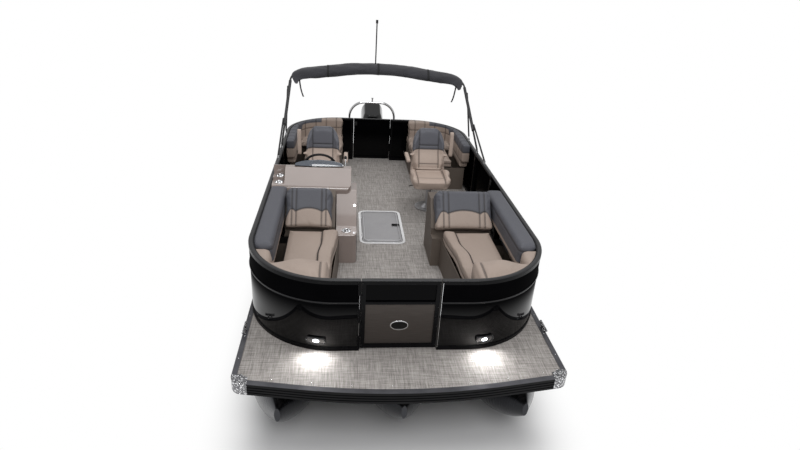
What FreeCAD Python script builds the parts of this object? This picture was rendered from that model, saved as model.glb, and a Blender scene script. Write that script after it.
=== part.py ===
import FreeCAD
import Part
import math
import os

# Three-tube pontoon boat, drawn in millimetres: +X to port, +Y aft, +Z up.
# While it is drawn, Y is zero at the middle of the bow edge of the deck and Z is zero at the keels.
# At the end everything is moved along Y so that the middle of the whole boat is the origin.

V = FreeCAD.Vector

# Hull and deck
deck_length = 6100.0
beam = 2590.0
tube_diameter = 635.0
tube_inset = 345.0
outer_tube_offset = beam / 2 - tube_inset
keel_depth = 14.0
keel_width = 60.0
riser_height = 40.0
riser_width = 90.0
member_height = 76.0
member_width = 50.0
member_web = 6.0
member_pitch = 500.0
member_first = 230.0
floor_thickness = 21.0
tube_front = 60.0
tube_rear_margin = 60.0
centre_tube_set_back = 500.0
centre_tube_rear = deck_length - centre_tube_set_back
nose_length = 900.0
riser_front = 560.0
tube_cap_bulge = 30.0

tube_radius = tube_diameter / 2
tube_axis = keel_depth + tube_radius
riser_top = keel_depth + tube_diameter + riser_height
member_top = riser_top + member_height
deck_top = member_top + floor_thickness

# Deck edge
trim_thickness = 25.0
trim_height = 95.0
trim_lip_width = 42.0
trim_lip_height = 5.0
trim_groove_depth = 5.0
trim_groove_height = 9.0
trim_groove_count = 3
bow_point = 62.0
bow_rake_side = 205.0
bow_curve_radius = 5000.0
deck_bow_corner = 90.0
deck_stern_corner = 60.0
casting_reach_x = 125.0
casting_reach_y = 235.0
casting_width = 70.0
casting_lip = 7.0
cleat_length = 150.0
cleat_height = 38.0
cleat_width = 26.0
cleat_post = 11.0
cleat_bow_y = 760.0
cleat_stern_set_back = 300.0
cleat_stern_y = deck_length - cleat_stern_set_back

# Fence
fence_inset = 12.0
fence_half = beam / 2 - fence_inset
fence_front = 500.0
stern_deck = 800.0
fence_back = deck_length - stern_deck
fence_corner = 750.0
fence_height = 655.0
rail_width = 40.0
rail_height = 32.0
foot_rail_height = 40.0
mid_rail_share = 0.69
mid_rail_height = 14.0
mid_rail_thickness = 3.0
panel_inset = 3.0
panel_thickness = 4.0
post_size = 32.0
corner_post_shares = (0.25, 0.75)
corner_post_gap = 0.3
strip_gate_gap = 20.0

# Gates
bow_gate_starboard = -341.0
bow_gate_port = 290.0
stern_gate_starboard = -338.0
stern_gate_port = 239.0
side_gate_fore = 2410.0
side_gate_width = 460.0
side_gate_aft = side_gate_fore + side_gate_width
gate_gap = 7.0
gate_foot = 25.0
gate_depth = panel_thickness + post_size
gate_bar = 34.0
gate_divider = 22.0
hinge_radius = 6.0
hinge_leaf = 2.0
hinge_gap = 0.3
knuckle_count = 5

# Lamps on the fence
lamp_x = 685.0
lamp_z = 100.0
lamp_width = 150.0
lamp_height = 52.0
lamp_depth = 16.0
lamp_corner = 18.0

# Floor locker and its lid
hatch_starboard = -268.0
hatch_port = 205.0
hatch_fore = 2385.0
hatch_aft = 3233.0
hatch_corner = 60.0
hatch_flange = 24.0
hatch_flange_height = 6.0
hatch_lid_thickness = 12.0
hatch_lid_gap = 6.0
locker_depth = 330.0
locker_wall = 5.0
locker_clearance = 1.0
hatch_hinge_length = 90.0
hatch_hinge_share = 0.2
hatch_pin_share = 1.5

# Lounges
soft_gap = 0.3
lounge_wall = 6.0
lounge_inset = 48.0
lounge_side = fence_half - lounge_inset
lounge_front = 555.0
lounge_aisle_front = 600.0
lounge_aisle_rear = 520.0
lounge_seat_rear = 1880.0
lounge_rear = 2385.0
lounge_base_height = 320.0
seat_thickness = 100.0
seat_overhang = 15.0
seat_hinge_inset = 263.0
seat_hinge_x = fence_half - seat_hinge_inset
seat_corner = 40.0
bolster_rear = 860.0
bolster_side_rear = 1060.0
bolster_top = 650.0
bolster_end = 590.0
bolster_round = 50.0
pad_depth = 175.0
pad_bottom = 440.0
pad_top = 690.0
pad_edge = 45.0
pad_round = 45.0
side_cushion_inset = 158.0
side_cushion_inner = fence_half - side_cushion_inset
back_support_aisle_port = 430.0
back_support_aisle_starboard = 562.0
back_inset = 221.0
back_width_end = fence_half - back_inset
back_foot_y = 1862.0
back_foot_height = 430.0
back_lean_angle = 37.0
back_length = 430.0
back_thickness = 125.0
back_corner = 85.0
back_edge = 28.0
back_support_top = 640.0
back_aisle_inset = 18.0

# Stern lounges
stern_lounge_length = 1240.0
stern_lounge_fore = fence_back - stern_lounge_length
stern_aisle_fore = 600.0
stern_aisle_aft = 500.0
stern_bend_set_back = 660.0
stern_aisle_bend = fence_back - stern_bend_set_back
stern_pad_length = 1315.0
stern_pad_fore = fence_back - stern_pad_length
stern_pad_inset = 153.0
stern_pad_inner = fence_half - stern_pad_inset
stern_pad_depth = 225.0
stern_pad_aft = fence_back - stern_pad_depth
stern_pad_bottom = 430.0
stern_pad_corner = 330.0
stern_pad_top = 690.0
stern_corner_length = 500.0
stern_seat_aft = fence_back - stern_corner_length
corner_cushion_gap = 6.0

# Helm console with its aisle pod
console_port = -400.0
console_fore = 2400.0
console_front_z = 640.0
console_shoulder_y = 2595.0
console_top_z = 800.0
dash_top_y = 2685.0
dash_length = 230.0
console_front_round = 60.0
console_round = 30.0
console_corner = 55.0
knee_inset = 163.0
knee_starboard = -(fence_half - knee_inset)
knee_port = -520.0
knee_top = 520.0
knee_front = 2540.0
knee_floor = 20.0
pod_starboard = -552.0
pod_port = -340.0
pod_fore = 1930.0
pod_aft = 2690.0
pod_front_z = 330.0
pod_flat_length = 180.0
pod_flat_aft = pod_fore + pod_flat_length
pod_rear_z = 615.0
pod_back_length = 250.0
pod_rear_y = pod_aft - pod_back_length
pod_round = 25.0
pod_corner = 40.0
cup_radius = 42.0
cup_depth = 75.0
cup_y = 2020.0
console_cup_inset = 118.0
console_cup_x = -(fence_half - console_cup_inset)
console_cup_y = 2490.0
console_cup_pitch = 115.0
console_cup_depth = 90.0
cup_shelf_z = 670.0
cup_shelf_step = 30.0
cup_shelf_margin = 60.0
screen_half_width = 240.0
screen_radius = 400.0
screen_thickness = 6.0
screen_height = 62.0
screen_front_y = 2606.0

# Steering wheel
wheel_inset = 538.0
wheel_x = -(fence_half - wheel_inset)
wheel_lean = 30.0
wheel_stand_off = 105.0
wheel_radius = 168.0
wheel_rim = 13.0
wheel_hub_radius = 42.0
wheel_hub_depth = 34.0
wheel_spoke_radius = 9.0
wheel_spoke_count = 3
wheel_column_radius = 26.0
wheel_column_gap = 0.3

# Captain's chairs
helm_chair_x = wheel_x
helm_chair_y = 3350.0
mate_chair_inset = 673.0
mate_chair_x = fence_half - mate_chair_inset
mate_chair_y = 3420.0
chair_flange_radius = 165.0
chair_flange_height = 14.0
chair_post_radius = 37.0
chair_plate_width = 230.0
chair_plate_length = 280.0
chair_plate_thickness = 20.0
chair_seat_bottom = 320.0
chair_seat_top = 455.0
chair_seat_half = 255.0
chair_seat_front = 262.0
chair_seat_back = 190.0
chair_corner = 70.0
chair_edge = 28.0
chair_back_thickness = 100.0
chair_back_top = 990.0
chair_back_half_foot = 245.0
chair_back_half_top = 205.0
chair_back_corner = 105.0
chair_back_lean_angle = 9.0
arm_width = 52.0
arm_height = 48.0
arm_length = 300.0
arm_round = 22.0
arm_inner_x = 262.0
arm_pivot_y = 235.0
arm_pivot_z = 640.0
arm_boss_radius = 18.0
arm_raise = 94.0

# Tow arch
arch_x = -50.0
arch_set_back = 650.0
arch_y = deck_length - arch_set_back
arch_half = 352.0
arch_height = 872.0
arch_bend = 230.0
arch_tube = 19.0
brace_tube = 12.7
brace_set_back = 170.0
brace_foot_y = deck_length - brace_set_back
brace_top_z = 640.0
arch_foot_radius = 45.0
arch_foot_height = 8.0
tow_knob_radius = 20.0
tow_knob_waist = 12.0
tow_knob_height = 62.0
tow_knob_cap = 12.0

# Motor pod and outboard motor, drawn upright about its tilt pin and then tilted
pod_half_width = 230.0
motor_pod_root = 460.0
motor_pod_fore = deck_length - motor_pod_root
transom_reach = 192.0
motor_pod_aft = deck_length + transom_reach
motor_pod_keel = 330.0
motor_pod_rake = 310.0
motor_pod_nose_y = deck_length - motor_pod_rake
motor_pod_nose_z = 520.0
transom_thickness = 44.0
transom_top = 745.0
park_tilt = 25.0
pin_reach = 250.0
pin_y = deck_length + pin_reach
pin_z = 775.0
clamp_half = 118.0
clamp_plate = 14.0
clamp_drop = 250.0
clamp_ear = 14.0
clamp_ear_radius = 34.0
ear_round_share = 0.9
clamp_pin_radius = 14.0
clamp_pin_gap = 0.05
swivel_half = 103.0
swivel_barrel = 26.0
swivel_tube_y = 60.0
swivel_tube_radius = 30.0
swivel_tube_drop = 290.0
swivel_tube_top = 44.0
pan_bottom = 48.0
pan_top = 72.0
pan_half = 150.0
pan_fore = -40.0
pan_aft = 395.0
pan_corner = 120.0
steer_plug_radius = 24.0
leg_fore = 108.0
leg_aft = 250.0
leg_half = 58.0
leg_foot = -545.0
vent_plate_z = -520.0
vent_plate_thickness = 9.0
vent_plate_half = 115.0
vent_plate_fore = 70.0
vent_plate_aft = 400.0
gearcase_z = -700.0
gearcase_radius = 48.0
gearcase_fore = 50.0
gearcase_nose = 80.0
gearcase_aft = 300.0
strut_half = 22.0
strut_fore = 110.0
strut_aft = 270.0
skeg_foot = -865.0
skeg_half = 6.0
skeg_fore = 130.0
skeg_aft = 270.0
skeg_foot_fore = 200.0
cowl_wall = 5.0
cowl_foot_z = 73.0
cowl_foot_half = 160.0
cowl_foot_fore = -46.0
cowl_foot_aft = 405.0
cowl_waist_z = 240.0
cowl_waist_half = 187.0
cowl_waist_fore = -92.0
cowl_waist_aft = 452.0
cowl_shoulder_z = 440.0
cowl_shoulder_half = 176.0
cowl_shoulder_fore = -84.0
cowl_shoulder_aft = 438.0
cowl_crown_z = 575.0
cowl_crown_half = 128.0
cowl_crown_fore = -10.0
cowl_crown_aft = 345.0
cowl_corner_share = 0.62
powerhead_half = 115.0
powerhead_fore = 0.0
powerhead_aft = 300.0
powerhead_top = 420.0

# Propeller
prop_hub_radius = 42.0
prop_hub_length = 105.0
prop_radius = 172.0
prop_blade_count = 3
prop_blade_chord = 118.0
prop_blade_thickness = 7.0
prop_pitch_angle = 28.0
prop_gap = 0.3
prop_widest_share = 0.55

# Boarding ladder on the aft deck
ladder_inset = 515.0
ladder_x = beam / 2 - ladder_inset
ladder_half = 150.0
ladder_length = 600.0
ladder_tube = 12.7
ladder_bend = 60.0
ladder_step_count = 3
ladder_step_share = 0.9
ladder_step_pitch = 160.0
ladder_pin_y = 27.0
ladder_pin_z = 22.0
ladder_eye_radius = 17.0
ladder_eye_half = 10.5
ladder_ear_thickness = 6.0
ladder_ear_length = 60.0
ladder_ear_height = 42.0
ladder_ear_gap = 0.3

# Folded canopy on its frame, held half raised; places along the frame are measured from its pins
canopy_lean = 30.0
canopy_pin_inset = 18.0
canopy_pin_x = fence_half - canopy_pin_inset
canopy_set_back = 1580.0
canopy_pin_y = fence_back - canopy_set_back
canopy_pin_height = 26.0
canopy_tube = 12.7
canopy_corner_inset = 51.0
canopy_corner_x = fence_half - canopy_corner_inset
canopy_corner_s = 1400.0
canopy_bend = 200.0
canopy_crown_s = 1640.0
canopy_crown_radius = 3000.0
boot_start_inset = 120.0
boot_start_x = fence_half - boot_start_inset
boot_start_s = 1215.0
boot_corner_inset = 133.0
boot_corner_x = fence_half - boot_corner_inset
boot_corner_s = 1362.0
boot_bend = 190.0
boot_crown_s = 1612.0
boot_half_height = 112.0
boot_half_depth = 78.0
boot_bore_gap = 0.4
front_strut_reach = 420.0
front_strut_y = canopy_pin_y - front_strut_reach
front_strut_tip_s = 480.0
front_strut_tube = 11.0
rear_strut_reach = 540.0
rear_strut_y = canopy_pin_y + rear_strut_reach
rear_strut_tip_s = 1110.0
rear_strut_tube = 11.0
rear_rod_tube = 8.5
rear_rod_overlap = 70.0
rear_strut_share = 0.92
rear_rod_gap = 0.05
rear_mouth_share = 0.8
strut_side_gap = 1.0
mount_length = 52.0
mount_base = 5.0
mount_ear = 5.0
mount_slot = 12.0
mount_eye = 11.0
mount_gap = 0.3
strut_neck = 4.6
mast_x = -40.0
mast_radius = 9.0
mast_height = 600.0
mast_lamp_radius = 17.0
mast_lamp_height = 45.0
mast_clamp_radius = 18.0
mast_clamp_height = 24.0


def floor_plane(u, v):
    return V(u, v, 0)


def side_plane(u, v):
    return V(0, u, v)


def end_plane(u, v):
    return V(u, 0, v)


def box(x0, x1, y0, y1, z0, z1):
    return Part.makeBox(x1 - x0, y1 - y0, z1 - z0, V(x0, y0, z0))


def rounded_wire(points, radii, closed):
    """A wire through points, each inner corner rounded by a tangent arc of its radius."""
    count = len(points)
    entries = []
    for index in range(count):
        corner = points[index]
        at_end = not closed and index in (0, count - 1)
        radius = radii[index]
        if at_end or radius == 0:
            entries.append((corner, None, corner))
            continue
        before = (points[index - 1] - corner).normalize()
        after = (points[(index + 1) % count] - corner).normalize()
        half = before.getAngle(after) / 2
        reach = radius / math.tan(half)
        middle = (before + after).normalize() * (radius / math.sin(half) - radius)
        entries.append((corner + before * reach, corner + middle, corner + after * reach))
    edges = []
    for index, (start, middle, end) in enumerate(entries):
        if middle is not None:
            edges.append(Part.Arc(start, middle, end).toShape())
        following = entries[(index + 1) % count][0]
        last = not closed and index == count - 1
        if not last and end.distanceToPoint(following) > soft_gap / count:
            edges.append(Part.LineSegment(end, following).toShape())
    return Part.Wire(edges)


def outline(corners, plane=floor_plane):
    points = [plane(u, v) for u, v, radius in corners]
    return rounded_wire(points, [radius for u, v, radius in corners], True)


def plate(corners, z0, z1):
    face = Part.Face(outline(corners))
    face.translate(V(0, 0, z0))
    return face.extrude(V(0, 0, z1 - z0))


def side_profile(corners, x0, x1):
    face = Part.Face(outline(corners, side_plane))
    face.translate(V(x0, 0, 0))
    return face.extrude(V(x1 - x0, 0, 0))


def front_profile(corners, y0, y1):
    face = Part.Face(outline(corners, end_plane))
    face.translate(V(0, y0, 0))
    return face.extrude(V(0, y1 - y0, 0))


def rectangle(x0, x1, y0, y1, radius):
    return [(x0, y0, radius), (x1, y0, radius), (x1, y1, radius), (x0, y1, radius)]


def rod(start, end, radius):
    direction = end - start
    return Part.makeCylinder(radius, direction.Length, start, direction)


def bent_tube(points, radii, tube_r):
    path = rounded_wire(points, radii, False)
    ring = Part.Wire(Part.makeCircle(tube_r, points[0], points[1] - points[0]))
    return path.makePipeShell([ring], True, True)


def joined(solids):
    first = solids[0]
    if len(solids) > 1:
        first = first.multiFuse(solids[1:])
    return first.removeSplitter()


def grouped(solids):
    return Part.makeCompound(solids)


def mirrored(shape):
    return shape.mirror(V(0, 0, 0), V(1, 0, 0))


def turned(shape, centre, axis, angle):
    copy = shape.copy()
    copy.rotate(centre, axis, angle)
    return copy


def moved(shape, x, y, z):
    copy = shape.copy()
    copy.translate(V(x, y, z))
    return copy


def band(plan, outer, inner, z0, z1):
    return plate(plan(outer), z0, z1).cut(plate(plan(inner), z0, z1))


def deck_plan(inset):
    half = beam / 2 - inset
    side = bow_rake_side - bow_point + inset
    corner = deck_bow_corner - inset / 2
    stern = deck_length - inset
    return [(0, inset - bow_point, bow_curve_radius), (half, side, corner), (half, stern, deck_stern_corner),
            (-half, stern, deck_stern_corner), (-half, side, corner)]


def fence_plan(inset):
    half = fence_half - inset
    radius = fence_corner - inset
    return rectangle(-half, half, fence_front + inset, fence_back - inset, radius)


def nose_sections():
    """Ellipses from the round tube forward to the narrow stem, which rises to the deck's underside."""
    station_shares = (1.0, 0.72, 0.46, 0.24, 0.08, 0.0)
    keel_shares = (0.0, 0.05, 0.19, 0.40, 0.62, 0.74)
    top_shares = (1.0, 1.0, 0.995, 0.985, 0.965, 0.94)
    width_shares = (1.0, 0.93, 0.74, 0.46, 0.20, 0.07)
    sections = []
    for station, keel, top, width in zip(station_shares, keel_shares, top_shares, width_shares):
        low = keel_depth + tube_diameter * keel
        high = keel_depth + tube_diameter * top
        centre = V(0, tube_front + nose_length * station, (low + high) / 2)
        tall = (high - low) / 2
        wide = tube_radius * width
        if tall > wide:
            ellipse = Part.Ellipse(centre + V(0, 0, tall), centre + V(wide, 0, 0), centre)
        else:
            ellipse = Part.Circle(centre, V(0, 1, 0), tube_radius)
        sections.append(Part.Wire(ellipse.toShape()))
    return sections


def pontoon(rear, locker_room=None):
    nose = Part.makeLoft(nose_sections(), True)
    body_front = tube_front + nose_length
    body = Part.makeCylinder(tube_radius, rear - body_front, V(0, body_front, tube_axis), V(0, 1, 0))
    cap = Part.makeCone(tube_radius, tube_radius - tube_cap_bulge, tube_cap_bulge,
                        V(0, rear, tube_axis), V(0, 1, 0))
    riser = box(-riser_width / 2, riser_width / 2, riser_front, rear - riser_width, tube_axis, riser_top)
    keel = box(-keel_width / 2, keel_width / 2, body_front, rear, 0, tube_axis - tube_radius / 2)
    shape = joined([nose, body, cap, riser, keel])
    if locker_room is not None:
        shape = shape.cut(locker_room)
    return shape


def locker_room():
    """The space that the floor locker takes from the deck, the beams and the middle tube."""
    low = deck_top - locker_depth - locker_clearance
    room = rectangle(hatch_starboard - locker_clearance, hatch_port + locker_clearance,
                     hatch_fore - locker_clearance, hatch_aft + locker_clearance, hatch_corner)
    return plate(room, low, deck_top + locker_depth)


def hull():
    room = locker_room()
    outer = pontoon(deck_length - tube_rear_margin)
    return {"pontoon_port": moved(outer, outer_tube_offset, 0, 0),
            "pontoon_starboard": moved(outer, -outer_tube_offset, 0, 0),
            "pontoon_centre": pontoon(centre_tube_rear, room)}


def cross_members():
    reach = beam / 2 - trim_thickness
    beams = []
    y = member_first
    while y < deck_length - member_width - trim_thickness:
        beam_block = box(-reach, reach, y, y + member_width, riser_top, member_top)
        channel = box(-reach, reach, y + member_web, y + member_width, riser_top + member_web,
                      member_top - member_web)
        beams.append(beam_block.cut(channel))
        y += member_pitch
    plan = plate(deck_plan(trim_thickness), riser_top, member_top)
    return grouped([piece for one in beams for piece in one.common(plan).cut(locker_room()).Solids])


def deck_board():
    board = plate(deck_plan(trim_thickness), member_top, deck_top)
    return board.cut(locker_room())


def corner_blocks(low, high):
    edge = beam / 2
    start = -bow_point
    right = box(edge - casting_reach_x, edge + casting_width, start, casting_reach_y, low, high)
    return [right, mirrored(right)]


def deck_edge():
    low = deck_top - trim_height
    wall = band(deck_plan, 0, trim_thickness, low, deck_top)
    lip = band(deck_plan, 0, trim_lip_width, deck_top, deck_top + trim_lip_height)
    lip = lip.cut(plate(fence_plan(-soft_gap), deck_top, deck_top + trim_lip_height))
    trim = joined([wall, lip])
    pitch = trim_height / (trim_groove_count + 1)
    for index in range(trim_groove_count):
        groove_low = low + pitch * (index + 1) - trim_groove_height / 2
        trim = trim.cut(band(deck_plan, 0, trim_groove_depth, groove_low, groove_low + trim_groove_height))
    castings = []
    for block in corner_blocks(low - casting_lip, deck_top + trim_height):
        trim = trim.cut(block)
        wall = band(deck_plan, 0, trim_thickness, low, deck_top).common(block)
        cap = band(deck_plan, 0, casting_width, deck_top, deck_top + casting_lip).common(block)
        castings.append(joined([wall, cap]))
    return trim, castings


def cleat():
    """A horned cleat along Y, standing on two posts at height zero."""
    bar = rod(V(0, -cleat_length / 2, cleat_height), V(0, cleat_length / 2, cleat_height), cleat_post)
    base = box(-cleat_width / 2, cleat_width / 2, -cleat_length / 4, cleat_length / 4, 0, cleat_post / 2)
    posts = [rod(V(0, y, 0), V(0, y, cleat_height), cleat_post) for y in (-cleat_width, cleat_width)]
    return joined([bar, base] + posts)


def ladder_ears():
    ears = []
    y0 = deck_length - ladder_ear_length
    pin_z = deck_top + ladder_pin_z
    pin_y = deck_length + ladder_pin_y
    inner = ladder_tube + ladder_ear_gap
    for rail_x in (ladder_x - ladder_half, ladder_x + ladder_half):
        for side in (-1, 1):
            x0 = rail_x + side * inner
            x1 = x0 + side * ladder_ear_thickness
            foot = deck_top + trim_lip_height
            tongue = side_profile([(y0, foot, 0), (deck_length, foot, 0),
                                   (pin_y + ladder_eye_radius, pin_z - ladder_eye_radius, ladder_tube),
                                   (pin_y + ladder_eye_radius, pin_z + ladder_eye_radius, ladder_tube),
                                   (y0, deck_top + ladder_ear_height, ladder_tube)],
                                  min(x0, x1), max(x0, x1))
            foot = box(min(x0, x1), max(x0, x1), y0, deck_length - trim_lip_width, deck_top,
                       deck_top + ladder_ear_height / 2)
            ears.append(joined([tongue, foot]))
    return ears


def deck():
    trim, castings = deck_edge()
    rim = deck_top + trim_lip_height
    side = beam / 2 - cleat_width / 2
    cleats = [moved(cleat(), x, y, rim) for x in (-side, side) for y in (cleat_bow_y, cleat_stern_y)]
    return {"deck_board": deck_board(), "deck_trim": trim, "cross_members": cross_members(),
            "deck_fittings": grouped(castings + cleats + ladder_ears())}


def gate_rooms(z0, z1, margin=0):
    """Blocks that clear the three gateways out of anything that runs round the fence."""
    depth = fence_corner / 2
    bow = box(bow_gate_starboard - margin, bow_gate_port + margin, fence_front - depth, fence_front + depth,
              z0, z1)
    stern = box(stern_gate_starboard - margin, stern_gate_port + margin, fence_back - depth,
                fence_back + depth, z0, z1)
    side = box(fence_half - depth, fence_half + depth, side_gate_fore - margin, side_gate_aft + margin,
               z0, z1)
    return [bow, stern, side]


def fence_section(solid):
    centre = solid.BoundBox.Center
    if centre.x < 0:
        return "starboard"
    return "port_fore" if centre.y < side_gate_aft else "port_aft"


def corner_post(centre_x, centre_y, toward_x, toward_y, share, z0, z1):
    """A post that follows the fence's round corner, share of the way round it."""
    angle = share * math.pi / 2
    radius = fence_corner - panel_inset - panel_thickness - post_size / 2 - corner_post_gap
    x = centre_x + toward_x * radius * math.cos(angle)
    y = centre_y + toward_y * radius * math.sin(angle)
    half = post_size / 2
    post = box(-half, half, -half, half, z0, z1)
    post.rotate(V(0, 0, 0), V(0, 0, 1), math.degrees(math.atan2(toward_y * math.sin(angle),
                                                                toward_x * math.cos(angle))))
    post.translate(V(x, y, 0))
    return post


def fence_posts(z0, z1):
    inner = panel_inset + panel_thickness
    half = fence_half - inner - corner_post_gap
    posts = []
    for x in (bow_gate_starboard - post_size, bow_gate_port):
        posts.append(box(x, x + post_size, fence_front + inner, fence_front + inner + post_size, z0, z1))
    for x in (stern_gate_starboard - post_size, stern_gate_port):
        posts.append(box(x, x + post_size, fence_back - inner - post_size, fence_back - inner, z0, z1))
    straight = (fence_back - fence_front - 2 * fence_corner) / 4
    starboard_ys = [fence_front + fence_corner + straight * step for step in range(5)]
    port_ys = [y for y in starboard_ys if not side_gate_fore - post_size < y < side_gate_aft + post_size]
    port_ys += [side_gate_fore - post_size / 2, side_gate_aft + post_size / 2]
    for y in starboard_ys:
        posts.append(box(-half, -half + post_size, y - post_size / 2, y + post_size / 2, z0, z1))
    for y in port_ys:
        posts.append(box(half - post_size, half, y - post_size / 2, y + post_size / 2, z0, z1))
    bend_x = fence_half - fence_corner
    for toward_x in (-1, 1):
        for centre_y, toward_y in ((fence_front + fence_corner, -1), (fence_back - fence_corner, 1)):
            for share in corner_post_shares:
                posts.append(corner_post(toward_x * bend_x, centre_y, toward_x, toward_y, share, z0, z1))
    return posts


def hinge_line(start, along, length, leaf_fixed, leaf_moving):
    """Knuckles of one hinge: the odd ones belong to the fixed side, the even ones to the moving side."""
    pitch = length / knuckle_count
    fixed, moving = [], []
    for index in range(knuckle_count):
        low = start + along * (pitch * index + hinge_gap / 2)
        high = start + along * (pitch * (index + 1) - hinge_gap / 2)
        knuckle = rod(low, high, hinge_radius)
        leaf = leaf_fixed if index % 2 == 0 else leaf_moving
        span = box(0, 0 + leaf[1] - leaf[0], 0, leaf[3] - leaf[2], 0, high.z - low.z)
        span.translate(V(leaf[0], leaf[2], low.z))
        (fixed if index % 2 == 0 else moving).append(joined([knuckle, span]))
    return fixed, moving


def gate_hinge(gap_x, post_side, face_y, toward_y, z0, z1):
    """A hinge whose barrel stands just off the gate's face, beside the post."""
    barrel = V(gap_x, face_y + toward_y * (hinge_radius + hinge_gap), z0)
    near = face_y + toward_y * hinge_radius
    low_y, high_y = sorted((face_y, near + toward_y * hinge_radius / 2))
    reach = hinge_radius * 3
    post_leaf = sorted((gap_x, gap_x + post_side * reach))
    gate_leaf = sorted((gap_x, gap_x - post_side * reach))
    return hinge_line(barrel, V(0, 0, 1), z1 - z0,
                      (post_leaf[0], post_leaf[1], low_y, high_y),
                      (gate_leaf[0], gate_leaf[1], low_y, high_y))


def framed_gate(x0, x1, y0, z0, z1):
    """A gate leaf in the X-Z plane: tube frame with a divider, and a panel in each of its two fields."""
    frame = box(x0, x1, y0, y0 + gate_depth, z0, z1)
    divider_z = deck_top + fence_height * mid_rail_share
    lower = (x0 + gate_bar, x1 - gate_bar, z0 + gate_bar, divider_z - gate_divider / 2)
    upper = (x0 + gate_bar, x1 - gate_bar, divider_z + gate_divider / 2, z1 - gate_bar)
    panels = []
    middle = y0 + (gate_depth - panel_thickness) / 2
    for left, right, low, high in (lower, upper):
        frame = frame.cut(box(left, right, y0, y0 + gate_depth, low, high))
        panels.append(box(left, right, middle, middle + panel_thickness, low, high))
    return frame, panels


def gates_and_fence():
    z0 = deck_top
    z1 = deck_top + fence_height
    divider_z = z0 + fence_height * mid_rail_share
    rooms = gate_rooms(z0 - fence_height, z1 + fence_height)
    rails = [band(fence_plan, 0, rail_width, z1 - rail_height, z1).cut(grouped(rooms)),
             band(fence_plan, 0, rail_width, z0, z0 + foot_rail_height).cut(grouped(rooms))]
    strip = band(fence_plan, panel_inset - mid_rail_thickness, panel_inset, divider_z - mid_rail_height / 2,
                 divider_z + mid_rail_height / 2)
    rails.append(strip.cut(grouped(gate_rooms(z0, z1, strip_gate_gap))))
    panel = band(fence_plan, panel_inset, panel_inset + panel_thickness, z0 + foot_rail_height,
                 z1 - rail_height)
    pieces = {"starboard": [], "port_fore": [], "port_aft": []}
    for rail in rails:
        for solid in rail.Solids:
            pieces[fence_section(solid)].append(solid)
    for post in fence_posts(z0 + foot_rail_height, z1 - rail_height):
        pieces[fence_section(post)].append(post)
    nodes = {"fence_panels": grouped(panel.cut(grouped(rooms)).Solids)}

    gate_z0 = z0 + gate_foot
    inner = panel_inset
    bow_frame, bow_panels = framed_gate(bow_gate_starboard + gate_gap, bow_gate_port - gate_gap,
                                        fence_front + inner, gate_z0, z1)
    post_knuckles, gate_knuckles = gate_hinge(bow_gate_starboard, -1, fence_front + inner, -1, gate_z0, z1)
    pieces["starboard"] += post_knuckles
    nodes["bow_gate_frame"] = joined([bow_frame] + gate_knuckles)
    nodes["bow_gate_panels"] = grouped(bow_panels)

    stern_frame, stern_panels = framed_gate(stern_gate_starboard + gate_gap, stern_gate_port - gate_gap,
                                            fence_back - inner - gate_depth, gate_z0, z1)
    post_knuckles, gate_knuckles = gate_hinge(stern_gate_port, 1, fence_back - inner - gate_depth, -1,
                                              gate_z0, z1)
    pieces["port_aft"] += post_knuckles
    nodes["stern_gate"] = joined([stern_frame] + gate_knuckles + stern_panels)

    width = side_gate_aft - side_gate_fore
    side_frame, side_panels = framed_gate(gate_gap, width - gate_gap, 0, gate_z0, z1)
    post_knuckles, gate_knuckles = gate_hinge(0, -1, gate_depth, 1, gate_z0, z1)
    turn = V(0, 0, 1)
    place = V(fence_half - inner, side_gate_fore, 0)
    side_leaf = joined([side_frame] + gate_knuckles + side_panels)
    fixed = grouped(post_knuckles)
    for shape in (side_leaf, fixed):
        shape.rotate(V(0, 0, 0), turn, 90)
        shape.translate(place)
    pieces["port_fore"] += fixed.Solids
    nodes["side_gate"] = side_leaf
    for name, solids in pieces.items():
        nodes["fence_frame_" + name] = joined(solids)
    return nodes


def in_fence(inset, corners, z0, z1):
    """An upright block of the given plan, kept inside the fence's outline."""
    return plate(corners, z0, z1).common(plate(fence_plan(inset), z0, z1))


def rounded_top(shape, top, radius, rear):
    """Rounds the straight edges round the flat top of a solid, as far aft as rear, but not its fence side."""
    solid = shape.Solids[0]
    rim = []
    for edge in solid.Edges:
        extent = edge.BoundBox
        at_top = extent.ZMin > top - soft_gap / 2
        curved = min(extent.XLength, extent.YLength) > radius + soft_gap
        if at_top and not curved and extent.YMin < rear - soft_gap:
            rim.append(edge)
    return solid.makeFillet(radius, rim)


def docking_lights():
    """Two oblong lamps low on the fence; each follows the curve of the panel behind it."""
    lights = []
    face = fence_front
    z = deck_top + lamp_z
    for x in (-lamp_x, lamp_x):
        corners = [(x - lamp_width / 2, z - lamp_height / 2, lamp_corner),
                   (x + lamp_width / 2, z - lamp_height / 2, lamp_corner),
                   (x + lamp_width / 2, z + lamp_height / 2, lamp_corner),
                   (x - lamp_width / 2, z + lamp_height / 2, lamp_corner)]
        block = front_profile(corners, face - lamp_depth, face + fence_corner / 2)
        shell = band(fence_plan, panel_inset - lamp_depth, panel_inset, deck_top, deck_top + fence_height)
        lights.append(block.common(shell))
    return {"docking_lights": grouped([light.Solids[0] for light in lights])}


def hatch_pin():
    return V(hatch_starboard + hatch_pin_share * hatch_lid_gap, hatch_fore,
             deck_top + hatch_flange_height + hinge_radius + hinge_gap)


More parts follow.
